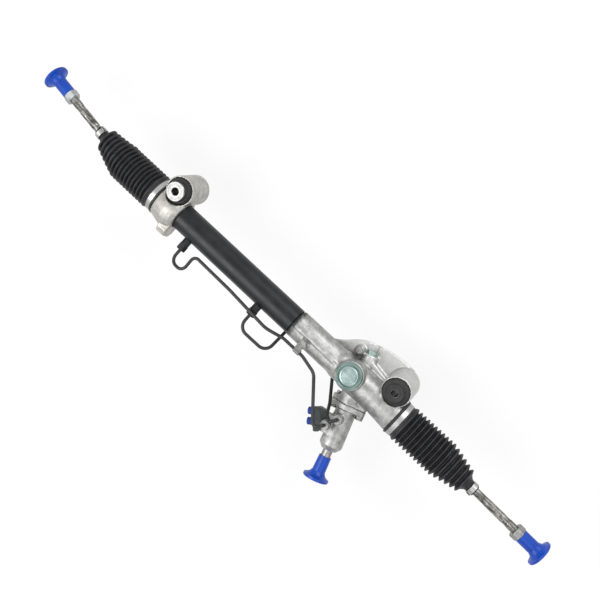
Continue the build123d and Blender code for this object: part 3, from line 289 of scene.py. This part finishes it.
def blackPaint(name, look):
    # Sprayed paint with a little orange peel and dust.
    net = Net(name)
    peel = net.noise(paintGrain["peel"], 2)
    dust = net.ramp(net.noise(paintGrain["dust"], 5, 0.65), [(0.4, 0.0), (0.75, 1.0)])
    colour = net.mix(dust, look["deep"], look["dusty"])
    rough = look["rough"] + 0.14 * dust + 0.04 * peel
    bump = net.bump(peel, 0.00003)
    return net.finish(Base_Color=colour, Roughness=rough, Normal=bump, Specular_IOR_Level=look["shine"])


bellowsLook = {"deep": (0.006, 0.006, 0.007), "worn": (0.020, 0.021, 0.024), "rough": 0.42, "shine": 0.38}
bushLook = {"deep": (0.012, 0.012, 0.013), "worn": (0.042, 0.042, 0.042), "rough": 0.55, "shine": 0.35}
rubberGrain = {"bloom": 85, "pores": 1900}


def blackRubber(name, look):
    # Moulded rubber: matte, with a fine bloom.
    net = Net(name)
    bloom = net.ramp(net.noise(rubberGrain["bloom"], 5, 0.65), [(0.35, 0.0), (0.8, 1.0)])
    pores = net.noise(rubberGrain["pores"], 2)
    colour = net.mix(bloom, look["deep"], look["worn"])
    rough = look["rough"] + 0.15 * bloom + 0.05 * pores
    bump = net.bump(pores, 0.00005)
    return net.finish(Base_Color=colour, Roughness=rough, Normal=bump, Specular_IOR_Level=look["shine"])


capLook = {"deep": (0.001, 0.028, 0.27), "thin": (0.003, 0.085, 0.56), "rough": 0.30, "shine": 0.35}
portPlugLook = {"deep": (0.003, 0.020, 0.16), "thin": (0.006, 0.05, 0.34), "rough": 0.32, "shine": 0.40}
plasticGrain = {"swirl": 60, "scuffs": 480}
scuffScale = (1, 6, 1)


def bluePlastic(name, look):
    # Soft moulded polythene, a little uneven in depth of colour.
    net = Net(name)
    swirl = net.noise(plasticGrain["swirl"], 4, 0.5)
    marks = net.noise(plasticGrain["scuffs"], 3, 0.6, net.stretched(scuffScale))
    scuffs = net.ramp(marks, [(0.58, 0.0), (0.72, 1.0)])
    colour = net.mix(swirl * 0.8 + scuffs * 0.2, look["deep"], look["thin"])
    rough = look["rough"] + 0.12 * swirl + 0.15 * scuffs
    bump = net.bump(swirl, 0.00008)
    return net.finish(Base_Color=colour, Roughness=rough, Normal=bump, Specular_IOR_Level=look["shine"])


bandLook = {"dark": (0.24, 0.24, 0.236), "light": (0.52, 0.52, 0.51), "rough": 0.34}
bandGrain = {"lines": 500, "scale": (14, 1, 1)}


def polishedBand(name, look):
    # Bright stainless strip with faint rolling lines.
    net = Net(name)
    lines = net.noise(bandGrain["lines"], 2, 0.5, net.stretched(bandGrain["scale"]))
    colour = net.mix(lines, look["dark"], look["light"])
    rough = look["rough"] + 0.12 * lines
    return net.finish(Base_Color=colour, Metallic=1.0, Roughness=rough, Normal=net.bump(lines, 0.00002))


linerLook = {"deep": (0.10, 0.07, 0.04), "pale": (0.22, 0.17, 0.10), "rough": 0.38, "cloud": 90}
seatLook = {"deep": (0.62, 0.61, 0.57), "pale": (0.80, 0.79, 0.75), "rough": 0.38, "cloud": 90}


def plainPlastic(name, look):
    net = Net(name)
    cloud = net.noise(look["cloud"], 4)
    colour = net.mix(cloud, look["deep"], look["pale"])
    rough = look["rough"] + 0.12 * cloud
    return net.finish(Base_Color=colour, Roughness=rough, Normal=net.bump(cloud, 0.00005))


finishes = {
    "cast": castMetal("castAluminium", castLook),
    "cast_bright": castMetal("paintedLightCastAluminium", litCastLook),
    "block": castMetal("paintedShadeBlock", shadedBlockLook),
    "steel": machinedMetal("turnedSteel", steelLook),
    "rod_steel": machinedMetal("oiledRodSteel", rodLook, acrossX, 0.75),
    "union": machinedMetal("blackenedSteel", unionLook),
    "clamp": polishedBand("polishedBand", bandLook),
    "zinc": platedMetal("greenZinc", zincLook),
    "black_tube": blackPaint("tubePaint", tubePaint),
    "black_pipe": blackPaint("pipePaint", pipePaint),
    "rubber": blackRubber("bellowsRubber", bellowsLook),
    "bush_rubber": blackRubber("bushRubber", bushLook),
    "seal": blackRubber("sealRubber", bushLook),
    "blue_cap": bluePlastic("capBlue", capLook),
    "blue_plug": bluePlastic("portPlugBlue", portPlugLook),
    "bronze": platedMetal("sinteredBronze", bronzeLook),
    "liner": plainPlastic("guideLiner", linerLook),
    "seat": plainPlastic("acetalSeat", seatLook),
}

# Nodes that look different from the rest of their slot.
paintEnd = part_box("gear_housing")[0].x + paintDrift["reach"]
ownFinish = {
    # The gear housing carries the tube's black overspray and the painted light on its web.
    "gear_housing": castMetal("sprayedAndPaintedLightCast", castLook, paintEnd, paintedLightEdge["start"]),
    "left_jam_nut": machinedMetal("paleSteel", paleSteelLook),
    "valve_union_nuts": machinedMetal("zincedSteel", unionNutLook),
    # The guide plug's pale face is its zinc plate with a painted highlight on the dome.
    "guide_plug": platedMetal("paintedHighlightGreenZinc", plugFaceLook),
    "pinion_end_plug": platedMetal("paleGreenZinc", plugFaceLook),
}

for node, slot in slotOf.items():
    nodes[node].data.materials.clear()
    nodes[node].data.materials.append(ownFinish.get(node) or finishes[slot])
print("materials:", len(finishes) + len(ownFinish))


# Modelling helpers

shadeAngle = {"cast": 40, "bellows": 40, "turned": 32}
weldGap = {"cast": 0.000005, "spun": 0.00001}


def clearPick():
    if bpy.context.object and bpy.context.object.mode != "OBJECT":
        bpy.ops.object.mode_set(mode="OBJECT")
    bpy.ops.object.select_all(action="DESELECT")


def pick(piece):
    clearPick()
    piece.select_set(True)
    bpy.context.view_layer.objects.active = piece


def dress(piece, name, slot, node, body=None):
    # Gives a finished piece its name and finish, the node that it stands for, and its body.
    piece.name = name
    piece.data.name = name
    piece.data.materials.clear()
    piece.data.materials.append(ownFinish.get(node) or finishes[slot])
    if body:
        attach(piece, body)
    if node:
        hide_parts(node)


def smooth(piece, kind):
    pick(piece)
    bpy.ops.object.shade_smooth_by_angle(angle=math.radians(shadeAngle[kind]))


def outlineStart(point):
    # A single point to draw an outline from, left in edit mode and picked.
    clearPick()
    bpy.ops.mesh.primitive_plane_add(size=0.001, location=point)
    piece = bpy.context.object
    bpy.ops.object.transform_apply(location=True, rotation=True, scale=True)
    bpy.ops.object.mode_set(mode="EDIT")
    bpy.ops.mesh.select_all(action="SELECT")
    bpy.ops.mesh.merge(type="CENTER")
    return piece


def drawOutline(points, closed):
    # Extrudes a point along the outline, and back to its start where it is closed.
    piece = outlineStart(points[0])
    path = points + points[:1] if closed else points
    for before, after in zip(path, path[1:]):
        bpy.ops.mesh.extrude_vertices_move(TRANSFORM_OT_translate={"value": after - before})
    return piece


def spun(points, centre, axis, sides, closed):
    # A turned piece: its outline spun once round the axis.
    piece = drawOutline(points, closed)
    bpy.ops.mesh.select_all(action="SELECT")
    bpy.ops.mesh.spin(steps=sides, angle=2 * math.pi, center=centre, axis=axis)
    bpy.ops.mesh.select_all(action="SELECT")
    bpy.ops.mesh.remove_doubles(threshold=weldGap["spun"])
    bpy.ops.mesh.normals_make_consistent(inside=False)
    bpy.ops.object.mode_set(mode="OBJECT")
    return piece


# Castings, with the rounded edges of a mould

castings = {
    "gear_housing": {"voxel": 0.0013, "rounds": 7},
    "end_housing": {"voxel": 0.0011, "rounds": 7},
    "valve_housing": {"voxel": 0.0009, "rounds": 6},
    "port_block": {"voxel": 0.0006, "rounds": 6},
    "pipe_bracket": {"voxel": 0.0006, "rounds": 4},
}


def mergedCopy(node, name):
    # A node's own solid as one closed mesh that may be shaped further, picked.
    piece = bpy.data.objects.new(name, nodes[node].data.copy())
    bpy.context.collection.objects.link(piece)
    pick(piece)
    bpy.ops.object.mode_set(mode="EDIT")
    bpy.ops.mesh.select_all(action="SELECT")
    bpy.ops.mesh.remove_doubles(threshold=weldGap["cast"])
    bpy.ops.object.mode_set(mode="OBJECT")
    return piece


def castPiece(node, voxel, rounds):
    # The node as a mould leaves it: one skin, with every edge rounded.
    piece = mergedCopy(node, node + "Cast")
    grown = piece.modifiers.new("grown", "REMESH")
    grown.mode = "VOXEL"
    grown.voxel_size = voxel
    eased = piece.modifiers.new("eased", "SMOOTH")
    eased.factor = 0.5
    eased.iterations = rounds
    bpy.ops.object.modifier_apply(modifier="grown")
    bpy.ops.object.modifier_apply(modifier="eased")
    dress(piece, node + "Cast", slotOf[node], node, "housing")
    smooth(piece, "cast")


for node, size in castings.items():
    castPiece(node, size["voxel"], size["rounds"])
print("castings done")


# Bellows

bellowsShape = {
    "crestRadius": 0.0320,
    "grooveDepth": 0.0054,
    "grooveRise": 0.0006,         # a groove's floor is this much higher on its housing side
    "fullCrests": 11,
    "smallCrests": 5,
    "smallSpacing": 1.2,          # of the small crests, against the full ones
    "lastCrestRadius": 0.0215,
    "lastGrooveDrop": 0.0015,
    "firstFlank": 0.0022,
    "flankPoints": 8,
    "flankFrom": 0.12,            # share of a flank that is its root's round
    "flankShare": 0.70,           # share of a flank that is its slope
    "flankRound": 0.10,           # how much of the rise is a smooth curve from root to tip
    "flankPower": 0.85,
    "bendStart": 0.25,            # share of the length from which it leans over to the rod
    "neck": 0.012,
    "neckShoulder": (0.6, 0.0172),
    "neckCurve": ((0.0022, 0.0166), (0.0055, 0.0135), (0.0085, 0.0108)),
    "collar": 0.012,
    "collarRadius": 0.0094,
    "collarEase": 0.0006,
    "seat": 0.0117,
    "seatRadius": 0.02652,
    "seatEnd": 0.001,             # how far past the nose the bore is still the seat's
    "seatStep": 0.001,            # and how much narrower it is from there, at least
    "gripRadius": 0.0292,
    "gripSink": 0.0002,           # under the clamp
    "lipRadius": 0.0310,
    "lipWidth": 0.0038,
    "lipEase": 0.0006,
    "wall": 0.0016,
    "leastBore": 0.0068,
    "blendStart": -0.006,         # inside the clamp; it shapes nothing
    "sides": 96,
}
# The crest after which the bellows is cut: the seams lie in the groove after it and in the one after the next
# crest.
seamCrest = {"left": 12, "right": 13}


def measureBellows(side):
    # The x of the housing's nose, and the length from there to the collar.
    low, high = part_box(side + "_bellows")
    far, near = (low.x, high.x) if side == "left" else (high.x, low.x)
    nose = near + outwards[side] * bellowsShape["seat"]
    collar = bellowsShape["collar"] * abs(rodAxis[side].x)
    return nose, abs(far - nose) - collar


bellowsPlace = {side: measureBellows(side) for side in outwards}


def bellowsLine(side, along):
    # Centre of the bellows at a distance from its nose: on the rack's line, then over to the rod's.
    axis = rodAxis[side]
    nose, length = bellowsPlace[side]
    x = nose + outwards[side] * along
    bendStart = bellowsShape["bendStart"]
    ease = min(max((along / length - bendStart) / (1 - bendStart), 0), 1)
    ease = ease * ease * (3 - 2 * ease)
    reach = max((x - ballAt[side].x) / axis.x, 0)
    return Vector((x, rackY + axis.y * reach * ease, rackZ + axis.z * reach * ease))


def crestList(side):
    # (distance, radius) of every crest, from the housing to the rod.
    shape = bellowsShape
    steps = shape["fullCrests"] + shape["smallSpacing"] * shape["smallCrests"]
    step = (bellowsPlace[side][1] - shape["neck"]) / steps
    crests = [(step * (number + 1), shape["crestRadius"]) for number in range(shape["fullCrests"])]
    drop = (shape["crestRadius"] - shape["lastCrestRadius"]) / shape["smallCrests"]
    for number in range(1, shape["smallCrests"] + 1):
        along = step * (shape["fullCrests"] + shape["smallSpacing"] * number)
        crests.append((along, shape["crestRadius"] - drop * number))
    return crests


def roundedRise(t):
    # 0 at a groove's root and 1 at a crest's tip: a flank with a small round at both.
    shape = bellowsShape
    slope = min(max((t - shape["flankFrom"]) / shape["flankShare"], 0), 1) ** shape["flankPower"]
    return shape["flankRound"] * math.sin(math.pi / 2 * t) + (1 - shape["flankRound"]) * slope


def crestFlanks(crests, number):
    # Both flanks of one crest as (distance, radius), from the groove before it to the one after.
    shape = bellowsShape
    depth = shape["grooveDepth"]
    rise = shape["grooveRise"]
    along, radius = crests[number]
    start, startRadius = shape["firstFlank"], shape["gripRadius"]
    if number > 0:
        start = (crests[number - 1][0] + along) / 2
        startRadius = min(radius - depth + rise, crests[number - 1][1] - depth)
    if number + 1 < len(crests):
        end = (along + crests[number + 1][0]) / 2
        endRadius = crests[number + 1][1] - depth + rise
    else:
        end = along + (along - crests[number - 1][0]) / 2
        endRadius = radius - depth - shape["lastGrooveDrop"]
    shares = [point / shape["flankPoints"] for point in range(shape["flankPoints"])]
    rising = []
    falling = []
    for t in shares:
        climb = (radius - startRadius) * roundedRise(t)
        drop = (endRadius - radius) * (1 - roundedRise(1 - t))
        rising.append((start + (along - start) * t, startRadius + climb))
        falling.append((along + (end - along) * t, radius + drop))
    return rising + falling


def bellowsProfile(side):
    # The outer skin as (distance, radius): lip, grip under the clamp, rounded crests, neck and collar.
    shape = bellowsShape
    length = bellowsPlace[side][1]
    crests = crestList(side)
    lip, ease = shape["lipRadius"], shape["lipEase"]
    back = -shape["seat"]
    lipEnd = back + shape["lipWidth"]
    sunk = shape["gripRadius"] - shape["gripSink"]
    line = [(back, lip - ease), (back + 0.0005, lip), (lipEnd - 0.0005, lip), (lipEnd, lip - ease)]
    line += [(lipEnd + 0.0001, sunk), (-0.0002, sunk), (0.0004, shape["gripRadius"])]
    for number in range(len(crests)):
        line += crestFlanks(crests, number)
    neckStart = length - shape["neck"]
    tip = line[-1][0]
    share, radius = shape["neckShoulder"]
    line.append((tip + (neckStart - tip) * share, radius))
    line += [(neckStart + along, radius) for along, radius in shape["neckCurve"]]
    collar, ease = shape["collarRadius"], shape["collarEase"]
    end = length + shape["collar"]
    line += [(length - ease, collar + 0.0004), (length, collar)]
    line += [(end - 0.0009, collar), (end, collar - 0.0007)]
    return line


def bellowsPiece(side, name, start, end, blendFrom, blendTo):
    # One stretch of the bellows, with its inner wall, between two distances from the nose.
    shape = bellowsShape
    way = outwards[side]
    slack = 0.000001
    outer = [point for point in bellowsProfile(side) if start - slack <= point[0] <= end + slack]
    inner = []
    for along, radius in reversed(outer[::2] + [outer[-1]]):
        bore = min(radius - shape["wall"], shape["seatRadius"] - shape["seatStep"])
        bore = max(bore, shape["leastBore"])
        inner.append((along, shape["seatRadius"] if along < shape["seatEnd"] else bore))
    nose = Vector((bellowsPlace[side][0], rackY, rackZ))
    points = [nose + Vector((way * along, 0, radius)) for along, radius in outer + inner]
    piece = spun(points, nose, (1, 0, 0), shape["sides"], True)
    for vertex in piece.data.vertices:
        line = bellowsLine(side, way * (vertex.co.x - nose.x))
        vertex.co.y += line.y - rackY
        vertex.co.z += line.z - rackZ
    dress(piece, name, "rubber", side + "_bellows")
    smooth(piece, "bellows")
    bellowsLine(side, blendFrom)
    bellowsLine(side, blendTo)
    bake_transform(piece)


def grooveAfter(side, number):
    crests = crestList(side)
    return (crests[number - 1][0] + crests[number][0]) / 2


def makeBellows(side):
    # Three stretches with their seams in grooves: from the housing, then one crest, then on to the collar.
    firstSeam = grooveAfter(side, seamCrest[side])
    secondSeam = grooveAfter(side, seamCrest[side] + 1)
    back, blendStart = -bellowsShape["seat"], bellowsShape["blendStart"]
    collar = bellowsPlace[side][1]
    far = collar + bellowsShape["collar"]
    bellowsPiece(side, side + "BellowsBody", back, firstSeam, blendStart, firstSeam)
    bellowsPiece(side, side + "BellowsTurn", firstSeam, secondSeam, firstSeam, secondSeam)
    bellowsPiece(side, side + "BellowsNeck", secondSeam, far, secondSeam, collar)


for side in outwards:
    makeBellows(side)
print("bellows done")


# Turned pieces

def turnedPiece(name, node, body, origin, axis, outline, closed=False, sides=72, slot=None):
    # Spun from (along, radius) corners about an axis, for one node or, with none, added to a body.
    axis = Vector(axis).normalized()
    out = axis.orthogonal().normalized()
    origin = Vector(origin)
    points = [origin + axis * along + out * radius for along, radius in outline]
    piece = spun(points, origin, axis, sides, closed)
    dress(piece, name, slot or slotOf[node], node, body)
    smooth(piece, "turned")


def rounded(outline, cut):
    # The outline with each sharp corner inside it cut back by the same small amount.
    made = [outline[0]]
    for before, corner, after in zip(outline, outline[1:], outline[2:]):
        for other in (before, after):
            gap = (other[0] - corner[0], other[1] - corner[1])
            share = min(cut / math.hypot(*gap), 0.4)
            made.append((corner[0] + gap[0] * share, corner[1] + gap[1] * share))
    return made + [outline[-1]]


guidePlug = {
    "crown": 0.0150,
    "crownLift": 0.0006,          # from the lock ring up to the crown
    "crownEdge": 0.0012,
    "dome": 0.0112,
    "domeEdge": 0.0014,
    "step": 0.0026,
    "groove": 0.0016,
    "grooveDepth": 0.0042,
    "thread": 0.0178,
}
lockRing = {
    "inner": 0.0181,
    "lip": 0.0172,
    "lipHeight": 0.0012,
    "lipEdge": 0.0004,
    "land": 0.0198,
    "outer": 0.0214,
    "chamfer": 0.0022,
    "foot": 0.0008,
}


def plugCentre():
    # The lock ring sits on the plug's own axis.
    low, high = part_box("guide_plug")
    return Vector(((low.x + high.x) / 2, (low.y + high.y) / 2, 0))


def makeGuidePlug():
    # A threaded plug whose crown steps in to a slightly domed face.
    shape = guidePlug
    low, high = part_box("guide_plug")
    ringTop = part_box("guide_lock_ring")[1].z
    crown = shape["crown"]
    neck = crown - shape["groove"]
    grooveFloor = ringTop - shape["grooveDepth"]
    crownFoot = ringTop + shape["crownLift"]
    crownTop = high.z - shape["step"]
    thread, dome = shape["thread"], shape["dome"]
    outline = [(low.z, 0.0), (low.z, thread), (grooveFloor, thread), (grooveFloor, neck)]
    outline += [(crownFoot, neck), (crownFoot, crown), (crownTop - shape["crownEdge"], crown)]
    outline += [(crownTop, crown - shape["crownEdge"]), (crownTop, dome + shape["domeEdge"])]
    outline += [(high.z - 0.0004, dome)]
    outline = rounded(outline, 0.0003) + [(high.z - 0.0001, dome * 0.6), (high.z, 0.0)]
    turnedPiece("guidePlugTurned", "guide_plug", "housing", plugCentre(), (0, 0, 1), outline)


def makeLockRing():
    # The lock ring has a wide chamfer outside and a narrow land inside.
    shape = lockRing
    low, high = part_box("guide_lock_ring")
    under, top = low.z, high.z
    foot = shape["outer"] - shape["foot"]
    lipEdge = shape["lipEdge"]
    inner, lip, outer = shape["inner"], shape["lip"], shape["outer"]
    outline = [(under, inner), (top - shape["lipHeight"], inner), (top - lipEdge, lip)]
    outline += [(top, lip + lipEdge), (top, shape["land"]), (top - shape["chamfer"], outer)]
    outline += [(under + 0.0012, outer), (under + 0.0006, foot), (under, foot)]
    turnedPiece("lockRingTurned", "guide_lock_ring", "housing", plugCentre(), (0, 0, 1), outline,
                closed=True)


# Distances along a boss's axis start at its middle. Steps are (distance, radius): frontSteps from
# the boss's face, faceRing from the bush's own face, and underCollar from below the collar.
boss = {"half": 0.0313, "counterbore": 0.0080, "bore": 0.02252, "waist": 0.01802, "gap": 0.0003}
bushSleeve = {"outer": 0.0100, "gap": 0.0001}
endBush = {
    "front": 0.0155,
    "back": 0.0007,
    "collar": 0.0160,
    "collarThick": 0.0030,
    "bore": 0.00615,
    "edge": 0.0008,
    "faceRing": ((0.0000, 0.0126), (-0.0005, 0.0122), (-0.0005, 0.0108), (0.0000, 0.0104)),
    "frontSteps": (
        (-0.0012, 0.02222),
        (0.0008, 0.0205),
        (0.0060, 0.0200),
        (0.0068, 0.0188),
        (0.0068, 0.0172),
    ),
    "underCollar": ((-0.0030, 0.0164), (-0.0004, 0.0150)),
}
gearBush = {
    "front": 0.0080,
    "skin": 0.0010,
    "hole": 0.00645,
    "frontSteps": (
        (-0.0010, 0.02222),
        (0.0014, 0.02102),
        (0.0032, 0.02042),
        (0.0040, 0.0157),
        (0.0070, 0.0145),
    ),
    "faceRing": (
        (0.0000, 0.0141),
        (0.0000, 0.0100),
        (-0.0004, 0.0096),
        (-0.0004, 0.0082),
        (0.0000, 0.0078),
    ),
}


def stepsFrom(start, steps):
    return [(start + along, radius) for along, radius in steps]


def bushWaist(rim):
    # Between the counterbores the rubber is narrower, as its boss is.
    step = boss["half"] - boss["counterbore"]
    waist = boss["waist"] - boss["gap"]
    return [(-step, rim), (-step, waist), (step, waist), (step, rim)]


def makeEndBush():
    # A steel sleeve with a collar, and rubber that rises towards the collar in two steps.
    shape = endBush
    half = boss["half"]
    centre = Vector(mounts["end_side_bush"]["pos_m"])
    face = half + shape["front"]
    under = face - shape["collarThick"]
    back = -half - shape["back"]
    bore, edge = shape["bore"], shape["edge"]
    sleeve, collar = bushSleeve["outer"], shape["collar"]
    outline = [(back, bore), (back, sleeve), (under, sleeve), (under, collar)]
    outline += [(face - edge, collar), (face, collar - edge)]
    outline += stepsFrom(face, shape["faceRing"]) + [(face, bore + edge), (face - edge, bore)]
    turnedPiece("endBushSleeveTurned", "end_bush_sleeve", "housing", centre, bossAxis, outline,
                closed=True)
    rim = boss["bore"] - boss["gap"]
    inner = sleeve + bushSleeve["gap"]
    outline = [(0.0005 - half, inner), (0.0005 - half, rim)] + bushWaist(rim)
    outline += stepsFrom(half, shape["frontSteps"]) + stepsFrom(under, shape["underCollar"])
    outline = rounded(outline + [(under - 0.0004, inner)], 0.0004)
    turnedPiece("endBushRubberTurned", "end_bush_rubber", "housing", centre, bossAxis, outline,
                closed=True)


def makeGearBush():
    # The gear bush's rubber steps in twice and closes over its sleeve, down to the bolt's hole.
    shape = gearBush
    half = boss["half"]
    centre = Vector(mounts["gear_side_bush"]["pos_m"])
    rim = boss["bore"] - boss["gap"]
    inner = bushSleeve["outer"] + bushSleeve["gap"]
    under = half + shape["front"] + bushSleeve["gap"]
    top = half + shape["front"] + shape["skin"]
    back = 0.0005 - half
    outline = [(back, inner), (back, rim - 0.0030), (0.0030 - half, rim)] + bushWaist(rim)
    outline += stepsFrom(half, shape["frontSteps"]) + stepsFrom(top, shape["faceRing"])
    outline += [(top, shape["hole"]), (under, shape["hole"]), (under, inner)]
    outline = rounded(outline, 0.0003)
    turnedPiece("gearBushRubberTurned", "gear_bush_rubber", "housing", centre, bossAxis, outline,
                closed=True)


rodThread = {
    "stretch": {"left": (0.130, 0.1455), "right": (0.130, 0.1422)},
    "pitch": 0.0015,
    "crest": 0.00722,
    "root": 0.0069,
    "inner": 0.0065,
    "rise": (0.0002, 0.0007, 0.0009),   # root's end, crest's start and crest's end in each pitch
}


def makeRodThread(side):
    # Thread rings between the rod's flats and its jam nut, from the ball outwards.
    shape = rodThread
    start, end = shape["stretch"][side]
    turns = int((end - start) / shape["pitch"])
    rootEnd, crestStart, crestEnd = shape["rise"]
    outline = [(start, shape["inner"])]
    for number in range(turns):
        along = start + number * shape["pitch"]
        outline += [(along + rootEnd, shape["root"])]
        outline += [(along + crestStart, shape["crest"]), (along + crestEnd, shape["crest"])]
    far = start + turns * shape["pitch"]
    outline += [(far, shape["root"]), (far, shape["inner"])]
    turnedPiece(side + "RodThread", None, side + "_tie_rod", ballAt[side], rodAxis[side], outline,
                closed=True, sides=48, slot="rod_steel")


makeGuidePlug()
makeLockRing()
makeEndBush()
makeGearBush()
for side in outwards:
    makeRodThread(side)
print("turned pieces done")


# Floor, lights and camera

white = (1, 1, 1, 1)
studio = {
    "floor": (0.90, 0.90, 0.90, 1),
    "floorGlow": 0.80,
    "floorRough": 0.9,
    "floorShine": 0.1,
    "floorMiddle": (-0.2, 0),
    "floorSize": 60,
    "floorDrop": 0.075,           # so that a rod swung down and its cap stay above the floor
    "world": 0.46,
    "lampAim": {"key": (-0.2, 0, 0), "fill": (-0.1, 0, 0), "rim": (-0.2, 0, 0)},
    "lampPlace": {"key": (-0.9, -1.1, 1.5), "fill": (1.0, -0.3, 1.3), "rim": (0.1, 1.3, 1.1)},
    "lampPower": {"key": 26.0, "fill": 5.0, "rim": 16.0},
    "lampSize": {"key": 1.2, "fill": 1.0, "rim": 1.0},
}
# Where the photograph was taken from: almost straight above, turned in its frame.
photoView = {
    "lens": 54.3,
    "sensor": 36,
    "place": (-0.00171, 0.12720, 1.4230),
    "alongRack": (0.98951, -0.00814, -0.14424),
    "acrossRack": (0.00535, -0.99567, 0.09286),
    "turnCos": 0.73653,
    "turnSin": 0.67640,
    "farthest": 100,
}


def makeFloor():
    # Where it is seen, most of it glows white and the rest keeps a soft shadow.
    clearPick()
    floorZ = cadBox[0][2] - studio["floorDrop"]
    bpy.ops.mesh.primitive_plane_add(size=studio["floorSize"], location=(*studio["floorMiddle"], floorZ))
    floor = bpy.context.object
    floor.name = "floor"
    net = Net("paleFloor")
    rough, shine = studio["floorRough"], studio["floorShine"]
    net.finish(Base_Color=studio["floor"], Roughness=rough, Specular_IOR_Level=shine)
    glow = net.node("ShaderNodeEmission", {}, {"Color": white, "Strength": 1.0})
    lit = Flow(net, net.shader.outputs[0])
    share = net.seenShare() * studio["floorGlow"]
    both = net.node("ShaderNodeMixShader", {}, {0: share, 1: lit, 2: glow})
    net.show(both, "Material Output")
    floor.data.materials.append(net.owner)


def makeWorld():
    # White where it is seen, directly or in metal, and softer where it only lights.
    world = bpy.data.worlds.new("studio")
    bpy.context.scene.world = world
    net = Net("studio", world)
    soft = net.node("ShaderNodeBackground", {}, {"Color": white, "Strength": studio["world"]})
    plain = net.node("ShaderNodeBackground", {}, {"Color": white, "Strength": 1.0})
    both = net.node("ShaderNodeMixShader", {}, {0: net.seenShare(), 1: soft, 2: plain})
    net.show(both, "World Output")


def makeLamp(name):
    light = bpy.data.lights.new(name, "AREA")
    light.energy = studio["lampPower"][name]
    light.size = studio["lampSize"][name]
    lamp = bpy.data.objects.new(name, light)
    bpy.context.collection.objects.link(lamp)
    place = Vector(studio["lampPlace"][name])
    lamp.location = place
    lamp.rotation_mode = "QUATERNION"
    lamp.rotation_quaternion = (Vector(studio["lampAim"][name]) - place).to_track_quat("-Z", "Y")


def makeCamera():
    view = photoView
    lens = bpy.data.cameras.new("camera")
    lens.sensor_width = view["sensor"]
    lens.lens = view["lens"]
    lens.clip_end = view["farthest"]
    camera = bpy.data.objects.new("camera", lens)
    bpy.context.collection.objects.link(camera)
    along = Vector(view["alongRack"])
    across = Vector(view["acrossRack"])
    right = (view["turnCos"] * along - view["turnSin"] * across).normalized()
    down = (view["turnSin"] * along + view["turnCos"] * across).normalized()
    back = right.cross(-down)
    turn = Matrix((right, -down, back)).transposed()
    camera.matrix_world = Matrix.Translation(view["place"]) @ turn.to_4x4()
    bpy.context.scene.camera = camera


makeFloor()
makeWorld()
for name in studio["lampPlace"]:
    makeLamp(name)
makeCamera()
bpy.context.scene.view_settings.view_transform = "Standard"
print("studio done")

print("scene done")
